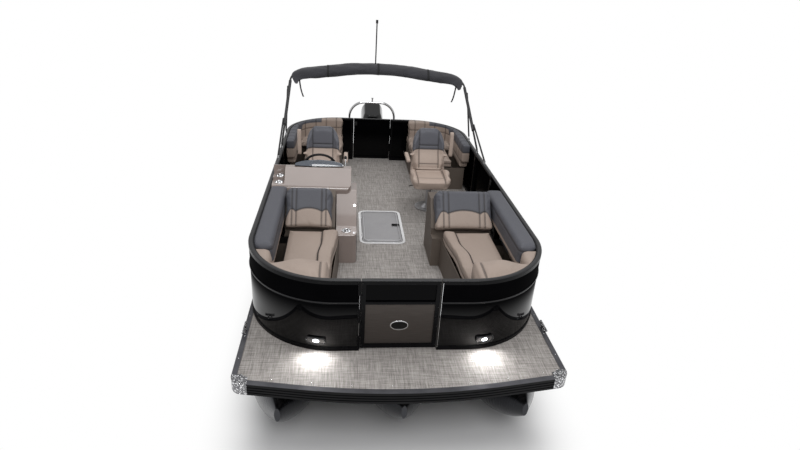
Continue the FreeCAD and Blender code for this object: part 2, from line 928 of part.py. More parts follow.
def hatch_hinges():
    """Two short hinges along the lid's starboard edge, with their leaves on the flange and on the lid."""
    pin = hatch_pin()
    length = hatch_aft - hatch_fore
    leaf_top = hinge_leaf
    locker_side, lid_side = [], []
    for share in (hatch_hinge_share, 1 - hatch_hinge_share):
        start = pin.y + length * share - hatch_hinge_length / 2
        pitch = hatch_hinge_length / knuckle_count
        for index in range(knuckle_count):
            y0 = start + pitch * index + hinge_gap / 2
            y1 = y0 + pitch - hinge_gap
            knuckle = rod(V(pin.x, y0, pin.z), V(pin.x, y1, pin.z), hinge_radius)
            side = -1 if index % 2 == 0 else 1
            x0, x1 = sorted((pin.x, pin.x + side * hinge_radius * 3))
            low = deck_top + hatch_flange_height
            leaf = box(x0, x1, y0, y1, low, low + leaf_top)
            (locker_side if side < 0 else lid_side).append(joined([knuckle, leaf]))
    return locker_side, lid_side


def floor_hatch():
    low = deck_top - locker_depth
    tub = plate(rectangle(hatch_starboard, hatch_port, hatch_fore, hatch_aft, hatch_corner), low, deck_top)
    wall = locker_wall
    hollow = plate(rectangle(hatch_starboard + wall, hatch_port - wall, hatch_fore + wall, hatch_aft - wall,
                             hatch_corner - wall), low + wall, deck_top + wall)
    flange_plan = rectangle(hatch_starboard - hatch_flange, hatch_port + hatch_flange,
                            hatch_fore - hatch_flange, hatch_aft + hatch_flange, hatch_corner + hatch_flange)
    flange = plate(flange_plan, deck_top, deck_top + hatch_flange_height)
    opening = hatch_lid_gap
    ledge = hatch_lid_thickness
    mouth = plate(rectangle(hatch_starboard + opening, hatch_port - opening, hatch_fore + opening,
                            hatch_aft - opening, hatch_corner - opening),
                  deck_top - ledge + hatch_flange_height, deck_top + ledge)
    rim_inset = hatch_flange
    rim = plate(rectangle(hatch_starboard + wall, hatch_port - wall, hatch_fore + wall, hatch_aft - wall,
                          hatch_corner - wall), deck_top - 2 * ledge, deck_top - ledge + hatch_flange_height)
    way = plate(rectangle(hatch_starboard + rim_inset, hatch_port - rim_inset, hatch_fore + rim_inset,
                          hatch_aft - rim_inset, hatch_corner - rim_inset), low + wall, deck_top + ledge)
    locker = joined([tub.cut(hollow), flange.cut(hollow), rim.cut(way)]).cut(mouth)
    lid_inset = 2 * hatch_lid_gap
    lid = plate(rectangle(hatch_starboard + lid_inset, hatch_port - lid_inset, hatch_fore + lid_inset,
                          hatch_aft - lid_inset, hatch_corner - lid_inset),
                deck_top - ledge + hatch_flange_height + soft_gap, deck_top + hatch_flange_height)
    locker_knuckles, lid_knuckles = hatch_hinges()
    return {"floor_locker": joined([locker] + locker_knuckles), "floor_hatch": joined([lid] + lid_knuckles)}


def seat_lid(corners, z0):
    return plate(corners, z0 + soft_gap, z0 + seat_thickness)


def leaned(shape):
    """Sets a shape drawn upright at zero onto the foot of the lounge's back, leaning aft."""
    shape = turned(shape, V(0, 0, 0), V(1, 0, 0), -back_lean_angle)
    return moved(shape, 0, back_foot_y, deck_top + back_foot_height)


def bow_bolster(inset, inner, low, top):
    """The tan rest round the bow corner of the port lounge, with its top edges rounded."""
    wall = lounge_wall
    across = side_profile([(fence_front, low - wall, 0), (bolster_rear, low - wall, 0),
                           (bolster_rear, top, bolster_round), (fence_front, top, 0)],
                          bolster_end - wall, fence_half)
    across = across.common(front_profile([(bolster_end, low, 0), (fence_half, low, 0), (fence_half, top, 0),
                                          (bolster_end, top, bolster_round)],
                                         fence_front, bolster_rear + wall))
    along = front_profile([(inner, deck_top + pad_bottom, 0), (fence_half, deck_top + pad_bottom, 0),
                           (fence_half, top, 0), (inner, top, bolster_round)], fence_front, bolster_side_rear)
    room = plate(fence_plan(inset), low - wall, top + wall)
    return joined([across.common(room), along.common(room)])


def bow_lounge(support_aisle):
    """One bow lounge on the port side: base, seat, back and pad."""
    z0 = deck_top
    base_top = z0 + lounge_base_height
    wall = lounge_wall
    shell = rail_width + pad_edge
    plan = [(lounge_aisle_front, lounge_front, seat_corner), (fence_half, lounge_front, 0),
            (fence_half, lounge_seat_rear, 0), (lounge_aisle_rear, lounge_seat_rear, 0)]
    hollow = [(lounge_aisle_front + wall, lounge_front + wall, seat_corner - wall),
              (fence_half, lounge_front + wall, 0), (fence_half, lounge_seat_rear - wall, 0),
              (lounge_aisle_rear + wall, lounge_seat_rear - wall, 0)]
    seat_box = in_fence(shell, plan, z0, base_top).cut(in_fence(shell + wall, hollow, z0 + wall, base_top))
    hinge_rail = box(seat_hinge_x, seat_hinge_x + wall, bolster_rear, lounge_seat_rear - wall / 2,
                     z0 + wall / 2, base_top)
    support = side_profile([(lounge_seat_rear, z0, 0), (lounge_seat_rear, z0 + back_support_top, 0),
                            (lounge_rear, z0 + back_support_top, back_edge), (lounge_rear, z0, 0)],
                           support_aisle, back_width_end)
    support = support.cut(leaned(box(0, lounge_side, -lounge_rear, back_thickness + soft_gap, 0, lounge_rear)))
    support = support.cut(box(0, lounge_side, lounge_seat_rear, back_foot_y + back_thickness, base_top,
                              z0 + back_foot_height))
    base = joined([seat_box, hinge_rail, support])

    overhang = seat_overhang
    seat = seat_lid([(lounge_aisle_front - overhang, bolster_rear + overhang / 2, seat_corner),
                     (seat_hinge_x, bolster_rear + overhang / 2, 0),
                     (seat_hinge_x, lounge_seat_rear - overhang * 2, 0),
                     (lounge_aisle_rear - overhang, lounge_seat_rear - overhang * 2, seat_corner)], base_top)

    across = support_aisle + back_aisle_inset
    back = front_profile([(across, 0, back_edge), (back_width_end, 0, back_edge),
                          (back_width_end, back_length, back_corner), (across, back_length, back_corner)],
                         0, back_thickness)
    back = leaned(back.makeFillet(back_edge, [edge for edge in back.Edges if edge.BoundBox.YLength < soft_gap]))
    inset = rail_width + soft_gap
    pad_inner = fence_half - inset - pad_depth
    bolster = bow_bolster(inset, pad_inner, base_top, z0 + bolster_top)
    pad = band(fence_plan, inset, inset + pad_depth, z0 + pad_bottom, z0 + pad_top)
    pad = pad.common(box(pad_inner, fence_half, bolster_side_rear + soft_gap, lounge_rear + wall,
                         z0, z0 + pad_top))
    pad = rounded_top(pad, z0 + pad_top, pad_round, fence_back)
    cushion = in_fence(inset, rectangle(side_cushion_inner, fence_half, bolster_rear + soft_gap,
                                        lounge_seat_rear - soft_gap, 0), base_top, z0 + pad_bottom - soft_gap)
    return {"base": base, "seat": seat, "back": back, "pad": grouped([bolster, pad, cushion])}


def stern_lounge():
    """One stern lounge on the port side: base, seat and pad."""
    z0 = deck_top
    base_top = z0 + lounge_base_height
    wall = lounge_wall
    shell = rail_width + pad_edge
    aft = fence_back - shell
    plan = [(stern_aisle_fore, stern_lounge_fore, 0), (fence_half, stern_lounge_fore, 0), (fence_half, aft, 0),
            (stern_aisle_aft, aft, 0), (stern_aisle_aft, stern_aisle_bend, seat_corner)]
    hollow = [(stern_aisle_fore + wall, stern_lounge_fore + wall, 0), (fence_half, stern_lounge_fore + wall, 0),
              (fence_half, aft - wall, 0), (stern_aisle_aft + wall, aft - wall, 0),
              (stern_aisle_aft + wall, stern_aisle_bend, seat_corner)]
    seat_box = in_fence(shell, plan, z0, base_top).cut(in_fence(shell + wall, hollow, z0 + wall, base_top))
    hinge_rail = box(seat_hinge_x, seat_hinge_x + wall, stern_lounge_fore + wall / 2, stern_seat_aft + wall,
                     z0 + wall / 2, base_top)
    cross_rail = box(stern_aisle_aft + wall / 2, seat_hinge_x + wall, stern_seat_aft, stern_seat_aft + wall,
                     z0 + wall / 2, base_top)
    base = joined([seat_box, hinge_rail, cross_rail])
    overhang = seat_overhang
    seat = seat_lid([(stern_aisle_fore - overhang, stern_lounge_fore, seat_corner),
                     (seat_hinge_x, stern_lounge_fore, 0), (seat_hinge_x, stern_seat_aft, 0),
                     (stern_aisle_aft - overhang, stern_seat_aft, 0),
                     (stern_aisle_aft - overhang, stern_aisle_bend, seat_corner)], base_top)
    inset = rail_width + soft_gap
    corner = in_fence(inset, rectangle(stern_aisle_aft - overhang, fence_half,
                                       stern_seat_aft + corner_cushion_gap,
                                       fence_back, 0), base_top + soft_gap, base_top + seat_thickness)
    side = in_fence(inset, rectangle(stern_pad_inner, fence_half, stern_lounge_fore, fence_back, 0),
                    base_top + soft_gap, z0 + stern_pad_bottom)
    rest = in_fence(inset, rectangle(stern_aisle_aft, fence_half, stern_pad_fore, fence_back, 0),
                    base_top + seat_thickness, z0 + stern_pad_top)
    well = plate(rectangle(0, stern_pad_inner, stern_pad_fore - fence_corner, stern_pad_aft, stern_pad_corner),
                 base_top + seat_thickness, z0 + fence_height * 2)
    pad = joined([corner, side, rest.cut(well)])
    return {"base": base, "seat": seat, "pad": pad}


def lounges():
    nodes = {}
    port = bow_lounge(back_support_aisle_port)
    starboard = bow_lounge(back_support_aisle_starboard)
    stern = stern_lounge()
    for part_name, shape in port.items():
        nodes["bow_lounge_port_" + part_name] = shape
    for part_name, shape in starboard.items():
        nodes["bow_lounge_starboard_" + part_name] = mirrored(shape)
    for part_name, shape in stern.items():
        nodes["stern_lounge_port_" + part_name] = shape
        nodes["stern_lounge_starboard_" + part_name] = mirrored(shape)
    return nodes


def dash_end():
    lean = math.radians(wheel_lean)
    return dash_top_y + dash_length * math.sin(lean), console_top_z - dash_length * math.cos(lean)


def wheel_centre():
    lean = math.radians(wheel_lean)
    end_y, end_z = dash_end()
    y = (dash_top_y + end_y) / 2 + wheel_stand_off * math.cos(lean)
    z = (console_top_z + end_z) / 2 + wheel_stand_off * math.sin(lean)
    return V(wheel_x, y, deck_top + z)


def helm():
    z0 = deck_top
    end_y, end_z = dash_end()
    profile = side_profile([(console_fore, z0, 0), (console_fore, z0 + console_front_z, console_front_round),
                            (console_shoulder_y, z0 + console_top_z, console_round),
                            (dash_top_y, z0 + console_top_z, console_round),
                            (end_y, z0 + end_z, console_round), (end_y, z0, 0)],
                           -lounge_side, console_port)
    plan = plate([(-lounge_side, console_fore, 0), (console_port, console_fore, console_corner),
                  (console_port, end_y, console_corner), (-lounge_side, end_y, 0)], z0, z0 + console_top_z)
    console = profile.common(plan)
    pod = side_profile([(pod_fore, z0, 0), (pod_fore, z0 + pod_front_z, pod_round),
                        (pod_flat_aft, z0 + pod_front_z, pod_round), (pod_rear_y, z0 + pod_rear_z, pod_corner),
                        (pod_aft, z0 + pod_rear_z, pod_corner), (pod_aft, z0, 0)], pod_starboard, pod_port)
    pod_plan = plate([(pod_starboard, pod_fore, pod_round), (pod_port, pod_fore, pod_corner),
                      (pod_port, pod_aft, pod_corner), (pod_starboard, pod_aft, 0)], z0, z0 + console_top_z)
    console = joined([console, pod.common(pod_plan)])
    console = console.cut(box(knee_starboard, knee_port, knee_front, end_y, z0 + knee_floor, z0 + knee_top))
    cup = Part.makeCylinder(cup_radius, cup_depth * 2,
                            V((pod_starboard + pod_port) / 2, cup_y, z0 + pod_front_z - cup_depth))
    console = console.cut(cup)
    step_y = console_cup_y + console_cup_pitch / 2
    shelf_z = z0 + cup_shelf_z
    shelves = [(console_fore, step_y, shelf_z),
               (step_y, console_cup_y + console_cup_pitch + cup_shelf_margin, shelf_z + cup_shelf_step)]
    for index, (fore, aft, level) in enumerate(shelves):
        centre = V(console_cup_x, console_cup_y + console_cup_pitch * index, level - console_cup_depth)
        console = console.cut(box(-lounge_side, console_cup_x + cup_shelf_margin, fore, aft, level,
                                  z0 + console_top_z))
        console = console.cut(Part.makeCylinder(cup_radius, console_cup_depth * 2, centre))
    return console


def windscreen():
    centre_y = screen_front_y + screen_radius
    z = deck_top + console_top_z
    ring = Part.makeCylinder(screen_radius, screen_height, V(wheel_x, centre_y, z)).cut(
        Part.makeCylinder(screen_radius - screen_thickness, screen_height, V(wheel_x, centre_y, z)))
    window = box(wheel_x - screen_half_width, wheel_x + screen_half_width, screen_front_y - screen_thickness,
                 screen_front_y + screen_radius / 2, z, z + screen_height)
    return ring.common(window).Solids[0]


def steering_wheel():
    """Rim, hub, spokes and column, drawn facing +Z and then leaned to face the helm chair."""
    rim = Part.makeTorus(wheel_radius, wheel_rim)
    hub = Part.makeCylinder(wheel_hub_radius, wheel_hub_depth, V(0, 0, -wheel_hub_depth))
    column_length = wheel_stand_off - wheel_hub_depth - wheel_column_gap
    column = Part.makeCylinder(wheel_column_radius, column_length, V(0, 0, -wheel_hub_depth - column_length))
    solids = [rim, hub, column]
    for index in range(wheel_spoke_count):
        angle = math.radians(90 + 360 / wheel_spoke_count * index)
        tip = V(math.cos(angle) * wheel_radius, math.sin(angle) * wheel_radius, 0)
        solids.append(rod(V(0, 0, -wheel_hub_depth / 2), tip, wheel_spoke_radius))
    wheel = joined(solids)
    wheel.rotate(V(0, 0, 0), V(1, 0, 0), wheel_lean - 90)
    wheel.translate(wheel_centre())
    return wheel


def chair_arm(side, raised):
    """One arm of a chair that faces -Y, with its pivot beside the back."""
    x0, x1 = sorted((side * arm_inner_x, side * (arm_inner_x + arm_width)))
    low = arm_pivot_z - arm_height / 2
    rear, front = arm_pivot_y + arm_height / 2, arm_pivot_y - arm_length
    corners = [(rear, low, arm_round), (rear, low + arm_height, arm_round),
               (front, low + arm_height, arm_round), (front, low, arm_round)]
    arm = side_profile(corners, x0, x1)
    if raised:
        arm.rotate(V(0, arm_pivot_y, arm_pivot_z), V(1, 0, 0), -arm_raise)
    return arm


def chair(x, y, outer_side):
    """A captain's chair facing -Y on a pedestal; the arm on its outer side is raised."""
    plate_z = chair_seat_bottom - chair_plate_thickness
    flange = Part.makeCylinder(chair_flange_radius, chair_flange_height)
    post = Part.makeCylinder(chair_post_radius, plate_z)
    cone = Part.makeCone(chair_flange_radius / 2, chair_post_radius, chair_flange_height * 3,
                         V(0, 0, chair_flange_height))
    top = box(-chair_plate_width / 2, chair_plate_width / 2, -chair_plate_length / 2, chair_plate_length / 2,
              plate_z, chair_seat_bottom - soft_gap)
    pedestal = joined([flange, post, cone, top])

    seat = plate(rectangle(-chair_seat_half, chair_seat_half, -chair_seat_front, chair_seat_back, chair_corner),
                 chair_seat_bottom, chair_seat_top)
    rim = [edge for edge in seat.Edges if edge.BoundBox.ZMin > chair_seat_top - soft_gap]
    seat = seat.makeFillet(chair_edge, rim)
    back_front = chair_seat_back + soft_gap
    back = front_profile([(-chair_back_half_foot, chair_seat_bottom, chair_edge),
                          (chair_back_half_foot, chair_seat_bottom, chair_edge),
                          (chair_back_half_top, chair_back_top, chair_back_corner),
                          (-chair_back_half_top, chair_back_top, chair_back_corner)],
                         back_front, back_front + chair_back_thickness)
    back.rotate(V(0, back_front, chair_seat_bottom), V(1, 0, 0), -chair_back_lean_angle)
    boss_reach = arm_inner_x - soft_gap
    boss = rod(V(-boss_reach, arm_pivot_y + chair_back_thickness / 2, arm_pivot_z),
               V(boss_reach, arm_pivot_y + chair_back_thickness / 2, arm_pivot_z), arm_boss_radius)
    pivot = rod(V(-boss_reach, arm_pivot_y, arm_pivot_z), V(boss_reach, arm_pivot_y, arm_pivot_z),
                arm_boss_radius)
    back = joined([back, pivot.cut(box(-chair_back_half_top, chair_back_half_top, 0, chair_seat_half,
                                       arm_pivot_z - arm_height, arm_pivot_z + arm_height))])
    seat_assembly = grouped([seat, back])
    nodes = {"pedestal": pedestal, "seat": seat_assembly,
             "arm_outer": chair_arm(outer_side, True), "arm_inner": chair_arm(-outer_side, False)}
    return {name: moved(shape, x, y, deck_top) for name, shape in nodes.items()}


def chairs():
    nodes = {}
    for name, x, y, outer in (("helm", helm_chair_x, helm_chair_y, -1),
                              ("mate", mate_chair_x, mate_chair_y, 1)):
        for part_name, shape in chair(x, y, outer).items():
            nodes[name + "_chair_" + part_name] = shape
    return nodes


def tow_arch():
    z0 = deck_top
    top = z0 + arch_height
    left, right = arch_x - arch_half, arch_x + arch_half
    hoop = bent_tube([V(left, arch_y, z0), V(left, arch_y, top), V(right, arch_y, top), V(right, arch_y, z0)],
                     [0, arch_bend, arch_bend, 0], arch_tube)
    solids = [hoop]
    for x in (left, right):
        solids.append(rod(V(x, brace_foot_y, z0), V(x, arch_y, z0 + brace_top_z), brace_tube))
        for y in (arch_y, brace_foot_y):
            solids.append(Part.makeCylinder(arch_foot_radius, arch_foot_height, V(x, y, z0)))
    knob_z = top + arch_tube / 2
    solids.append(Part.makeCylinder(tow_knob_waist, tow_knob_height, V(arch_x, arch_y, knob_z)))
    solids.append(Part.makeCylinder(tow_knob_radius, tow_knob_cap,
                                    V(arch_x, arch_y, knob_z + tow_knob_height - tow_knob_cap)))
    arch = joined(solids)
    return arch.cut(box(left - arch_half, right + arch_half, arch_y - arch_half, brace_foot_y + arch_half,
                        z0 - arch_half, z0))


def motor_pod():
    top = riser_top
    return side_profile([(motor_pod_fore, top, 0), (motor_pod_fore, motor_pod_nose_z, 0),
                         (motor_pod_nose_y, motor_pod_keel, arch_foot_radius),
                         (motor_pod_aft, motor_pod_keel, 0),
                         (motor_pod_aft, transom_top, 0), (motor_pod_aft - transom_thickness, transom_top, 0),
                         (motor_pod_aft - transom_thickness, top, 0)], -pod_half_width, pod_half_width)


def cowl_wire(ring, inset, lowered):
    """One level outline of the cowl from its height, half width and ends, drawn in by the inset."""
    level, half, fore, aft = ring
    half = half - inset
    wire = outline(rectangle(-half, half, fore + inset, aft - inset, half * cowl_corner_share))
    wire.translate(V(0, 0, level - lowered))
    return wire


def cowl():
    rings = [(cowl_foot_z, cowl_foot_half, cowl_foot_fore, cowl_foot_aft),
             (cowl_waist_z, cowl_waist_half, cowl_waist_fore, cowl_waist_aft),
             (cowl_shoulder_z, cowl_shoulder_half, cowl_shoulder_fore, cowl_shoulder_aft)]
    crown = (cowl_crown_z, cowl_crown_half, cowl_crown_fore, cowl_crown_aft)
    outer = [cowl_wire(ring, 0, 0) for ring in rings] + [cowl_wire(crown, 0, 0)]
    inner = [cowl_wire(ring, cowl_wall, 0) for ring in rings] + [cowl_wire(crown, cowl_wall, cowl_wall)]
    return Part.makeLoft(outer, True).cut(Part.makeLoft(inner, True))


def outboard_leg():
    pan = plate(rectangle(-pan_half, pan_half, pan_fore, pan_aft, pan_corner), pan_bottom, pan_top)
    plug = Part.makeCylinder(steer_plug_radius, pan_bottom - swivel_tube_top - hinge_gap,
                             V(0, swivel_tube_y, swivel_tube_top + hinge_gap))
    middle = plate(rectangle(-leg_half, leg_half, leg_fore, leg_aft, leg_half / 2), leg_foot, pan_bottom)
    vent = plate(rectangle(-vent_plate_half, vent_plate_half, vent_plate_fore, vent_plate_aft,
                           vent_plate_half / 2),
                 vent_plate_z, vent_plate_z + vent_plate_thickness)
    strut = plate(rectangle(-strut_half, strut_half, strut_fore, strut_aft, strut_half / 2),
                  gearcase_z, leg_foot)
    torpedo = rod(V(0, gearcase_fore + gearcase_nose, gearcase_z), V(0, gearcase_aft, gearcase_z),
                  gearcase_radius)
    nose = Part.makeCone(gearcase_radius / 4, gearcase_radius, gearcase_nose, V(0, gearcase_fore, gearcase_z),
                         V(0, 1, 0))
    skeg = side_profile([(skeg_fore, gearcase_z, 0), (skeg_foot_fore, skeg_foot, 0), (skeg_aft, skeg_foot, 0),
                         (skeg_aft, gearcase_z, 0)], -skeg_half, skeg_half)
    return joined([pan, plug, middle, vent, strut, torpedo, nose, skeg])


def propeller():
    """Hub and twisted blades about the Y axis, behind the gearcase."""
    start = gearcase_aft + prop_gap
    hub = rod(V(0, start, 0), V(0, start + prop_hub_length, 0), prop_hub_radius)
    solids = [hub]
    half = prop_blade_chord / 2
    blade = front_profile([(-half / 2, 0, 0), (half / 2, 0, 0),
                           (half, prop_radius * prop_widest_share, half / 2),
                           (half / 2, prop_radius, half / 3), (-half / 2, prop_radius, half / 3),
                           (-half, prop_radius * prop_widest_share, half / 2)],
                          -prop_blade_thickness / 2, prop_blade_thickness / 2)
    blade.rotate(V(0, 0, 0), V(0, 0, 1), prop_pitch_angle)
    blade.translate(V(0, start + prop_hub_length / 2, 0))
    for index in range(prop_blade_count):
        solids.append(turned(blade, V(0, 0, 0), V(0, 1, 0), 360 / prop_blade_count * index))
    return moved(joined(solids), 0, 0, gearcase_z)


def clamp_bracket():
    """Two ears that hang on the transom and carry the tilt pin; drawn about the pin."""
    plate_y = motor_pod_aft - pin_y
    back = box(-clamp_half, clamp_half, plate_y, plate_y + clamp_plate, -clamp_drop, transom_top - pin_z)
    solids = [back]
    for side in (-1, 1):
        x0, x1 = sorted((side * clamp_half, side * (clamp_half - clamp_ear)))
        ear = side_profile([(plate_y, -clamp_drop, 0), (plate_y, transom_top - pin_z, 0),
                            (-clamp_ear_radius, clamp_ear_radius, clamp_ear_radius * ear_round_share),
                            (clamp_ear_radius, clamp_ear_radius, clamp_ear_radius * ear_round_share),
                            (clamp_ear_radius, -clamp_ear_radius, clamp_ear_radius * ear_round_share)], x0, x1)
        solids.append(ear)
    bracket = joined(solids)
    barrel_room = rod(V(-swivel_half - hinge_gap, 0, 0), V(swivel_half + hinge_gap, 0, 0),
                      swivel_barrel + hinge_gap * 2)
    pin = rod(V(-clamp_half, 0, 0), V(clamp_half, 0, 0), clamp_pin_radius)
    return joined([bracket.cut(barrel_room), pin])


def swivel_bracket():
    barrel = rod(V(-swivel_half, 0, 0), V(swivel_half, 0, 0), swivel_barrel)
    tube = Part.makeCylinder(swivel_tube_radius, swivel_tube_drop + swivel_tube_top,
                             V(0, swivel_tube_y, -swivel_tube_drop))
    web = box(-swivel_tube_radius / 2, swivel_tube_radius / 2, 0, swivel_tube_y,
              -swivel_tube_drop / 2, swivel_barrel / 2)
    body = joined([barrel, tube, web])
    return body.cut(rod(V(-clamp_half, 0, 0), V(clamp_half, 0, 0), clamp_pin_radius + clamp_pin_gap))


def outboard():
    powerhead = box(-powerhead_half, powerhead_half, powerhead_fore, powerhead_aft, pan_top, powerhead_top)
    tilting = {"outboard_swivel": swivel_bracket(), "outboard_leg": outboard_leg(), "outboard_cowl": cowl(),
               "outboard_powerhead": powerhead, "propeller": propeller()}
    nodes = {}
    for name, shape in tilting.items():
        nodes[name] = moved(turned(shape, V(0, 0, 0), V(1, 0, 0), park_tilt), 0, pin_y, pin_z)
    nodes["outboard_clamp"] = moved(clamp_bracket(), 0, pin_y, pin_z)
    nodes["motor_pod"] = motor_pod()
    return nodes


def ladder_pin():
    return V(ladder_x, deck_length + ladder_pin_y, deck_top + ladder_pin_z)


def boarding_ladder():
    pin = ladder_pin()
    left, right = pin.x - ladder_half, pin.x + ladder_half
    tip = pin.y - ladder_length
    frame = bent_tube([V(left, pin.y, pin.z), V(left, tip, pin.z),
                       V(right, tip, pin.z), V(right, pin.y, pin.z)],
                      [0, ladder_bend, ladder_bend, 0], ladder_tube)
    solids = [frame]
    for index in range(ladder_step_count):
        y = tip + ladder_bend + ladder_step_pitch * (index + 1) - ladder_bend
        solids.append(rod(V(left, y, pin.z), V(right, y, pin.z), ladder_tube * ladder_step_share))
    for x in (left, right):
        solids.append(rod(V(x - ladder_eye_half, pin.y, pin.z), V(x + ladder_eye_half, pin.y, pin.z),
                          ladder_eye_radius))
    return joined(solids)


def canopy_point(x, s):
    """A point of the folded frame's plane, s along it from the pins."""
    lean = math.radians(canopy_lean)
    return V(x, canopy_pin_y + s * math.cos(lean), rail_top() + canopy_pin_height + s * math.sin(lean))


def rail_top():
    return deck_top + fence_height


def canopy_bow():
    points = [canopy_point(canopy_pin_x, 0), canopy_point(canopy_corner_x, canopy_corner_s),
              canopy_point(0, canopy_crown_s), canopy_point(-canopy_corner_x, canopy_corner_s),
              canopy_point(-canopy_pin_x, 0)]
    hoop = bent_tube(points, [0, canopy_bend, canopy_crown_radius, canopy_bend, 0], canopy_tube)
    return hoop


def canopy_boot(hoop_room, mast_room):
    """The rolled canopy in its cover: one fat rounded sweep round the top of the frame."""
    points = [canopy_point(boot_start_x, boot_start_s), canopy_point(boot_corner_x, boot_corner_s),
              canopy_point(0, boot_crown_s), canopy_point(-boot_corner_x, boot_corner_s),
              canopy_point(-boot_start_x, boot_start_s)]
    path = rounded_wire(points, [0, boot_bend, canopy_crown_radius, boot_bend, 0], False)
    along = (points[1] - points[0]).normalize()
    lean = math.radians(canopy_lean)
    up = V(0, -math.sin(lean), math.cos(lean))
    across = along.cross(up)
    ellipse = Part.Ellipse(points[0] + across * boot_half_height, points[0] + up * boot_half_depth, points[0])
    boot = path.makePipeShell([Part.Wire(ellipse.toShape())], True, False)
    return boot.cut(hoop_room).cut(mast_room)


def strut_eye(x, y):
    z = rail_top() + canopy_pin_height
    half = mount_slot / 2 - mount_gap
    return rod(V(x - half, y, z), V(x + half, y, z), mount_eye)


def canopy_mount(x, y):
    """A deck hinge: two ears on a foot that sits on the top rail."""
    z0 = rail_top()
    half_slot = mount_slot / 2
    foot = box(x - half_slot - mount_ear, x + half_slot + mount_ear, y - mount_length / 2, y + mount_length / 2,
               z0, z0 + mount_base)
    solids = [foot]
    top = canopy_pin_height + mount_eye
    for side in (-1, 1):
        x0, x1 = sorted((x + side * half_slot, x + side * (half_slot + mount_ear)))
        solids.append(side_profile([(y - mount_length / 3, z0, 0), (y + mount_length / 3, z0, 0),
                                    (y + mount_eye, z0 + top, mount_eye * ear_round_share),
                                    (y - mount_eye, z0 + top, mount_eye * ear_round_share)], x0, x1))
    return joined(solids)


def strut_line(foot_y, tip_s, foot_x, tip_x):
    foot = V(foot_x, foot_y, rail_top() + canopy_pin_height)
    tip = canopy_point(tip_x, tip_s)
    return foot, tip


def leg_x(s):
    """How far out the frame's leg is, s along it."""
    return canopy_pin_x + (canopy_corner_x - canopy_pin_x) * s / canopy_corner_s


def canopy():
    hoop = canopy_bow()
    eyes = [strut_eye(side * canopy_pin_x, canopy_pin_y) for side in (-1, 1)]
    ear_room = [box(side * canopy_pin_x - mount_eye * 3, side * canopy_pin_x + mount_eye * 3,
                    canopy_pin_y - mount_length, canopy_pin_y + mount_length / 2, rail_top(),
                    rail_top() + canopy_pin_height + mount_length / 2) for side in (-1, 1)]
    necks = []
    for side in (-1, 1):
        start = canopy_point(side * canopy_pin_x, 0)
        end = canopy_point(side * leg_x(mount_length), mount_length)
        necks.append(rod(start, end, strut_neck))
    hoop = joined([hoop.cut(grouped(ear_room))] + eyes + necks)

    front, rear, rods = [], [], []
    for side in (-1, 1):
        tip_x = side * (leg_x(front_strut_tip_s) + canopy_tube + front_strut_tube + strut_side_gap)
        foot, tip = strut_line(front_strut_y, front_strut_tip_s, side * canopy_pin_x, tip_x)
        along = (tip - foot).normalize()
        neck = rod(foot, foot + along * mount_length, strut_neck)
        tube = rod(foot + along * mount_length / 2, tip, front_strut_tube)
        tube_body = tube.cut(box(foot.x - mount_length, foot.x + mount_length, foot.y - mount_length,
                                 foot.y + mount_length / 2, foot.z - mount_length, foot.z + mount_length))
        inner = side * (leg_x(front_strut_tip_s) + canopy_tube + mount_gap)
        nub = rod(V(inner, tip.y, tip.z), tip, mount_eye / 2)
        front.append(joined([strut_eye(foot.x, foot.y), neck, tube_body, nub]))

        foot, tip = strut_line(rear_strut_y, rear_strut_tip_s, side * canopy_pin_x, side * canopy_pin_x)
        along = (tip - foot).normalize()
        length = (tip - foot).Length
        mouth = foot + along * length * rear_strut_share
        bore = rod(foot + along * rear_rod_overlap, tip, rear_rod_tube + rear_rod_gap)
        tube = rod(foot + along * mount_length * rear_mouth_share, mouth, rear_strut_tube)
        neck = rod(foot, foot + along * mount_length, strut_neck)
        rear.append(joined([strut_eye(foot.x, foot.y), neck, tube]).cut(bore))
        rod_start = foot + along * (rear_rod_overlap + mount_gap)
        inner = side * (leg_x(rear_strut_tip_s) + canopy_tube + mount_gap)
        nub = rod(V(inner, tip.y, tip.z), tip, mount_eye / 2)
        rods.append(joined([rod(rod_start, tip, rear_rod_tube), nub]))
    mounts = [canopy_mount(side * canopy_pin_x, y) for side in (-1, 1)
              for y in (canopy_pin_y, front_strut_y, rear_strut_y)]

    room = bent_tube([canopy_point(canopy_pin_x, 0), canopy_point(canopy_corner_x, canopy_corner_s),
                      canopy_point(0, canopy_crown_s), canopy_point(-canopy_corner_x, canopy_corner_s),
                      canopy_point(-canopy_pin_x, 0)],
                     [0, canopy_bend, canopy_crown_radius, canopy_bend, 0], canopy_tube + boot_bore_gap)
    crown = canopy_point(mast_x, canopy_crown_s)
    crown_drop = canopy_crown_radius / math.cos(math.atan2(canopy_crown_s - canopy_corner_s, canopy_corner_x))
    foot_s = canopy_crown_s - (crown_drop - canopy_crown_radius)
    seat_point = canopy_point(mast_x, foot_s)
    pole = rod(seat_point + V(0, 0, canopy_tube + mount_gap), seat_point + V(0, 0, mast_height), mast_radius)
    lamp = rod(seat_point + V(0, 0, mast_height), seat_point + V(0, 0, mast_height + mast_lamp_height),
               mast_lamp_radius)
    clamp = rod(seat_point + V(0, 0, canopy_tube + mount_gap),
                seat_point + V(0, 0, canopy_tube + mast_clamp_height), mast_clamp_radius)
    mast = joined([pole, lamp, clamp]).cut(room)
    mast_room = rod(seat_point, seat_point + V(0, 0, mast_height), mast_clamp_radius + boot_bore_gap)
    return {"bimini_bow": hoop, "bimini_boot": canopy_boot(room, mast_room), "bimini_mounts": grouped(mounts),
            "bimini_front_struts": grouped(front), "bimini_rear_struts": grouped(rear),
            "bimini_rear_rods": grouped(rods), "light_mast": mast}


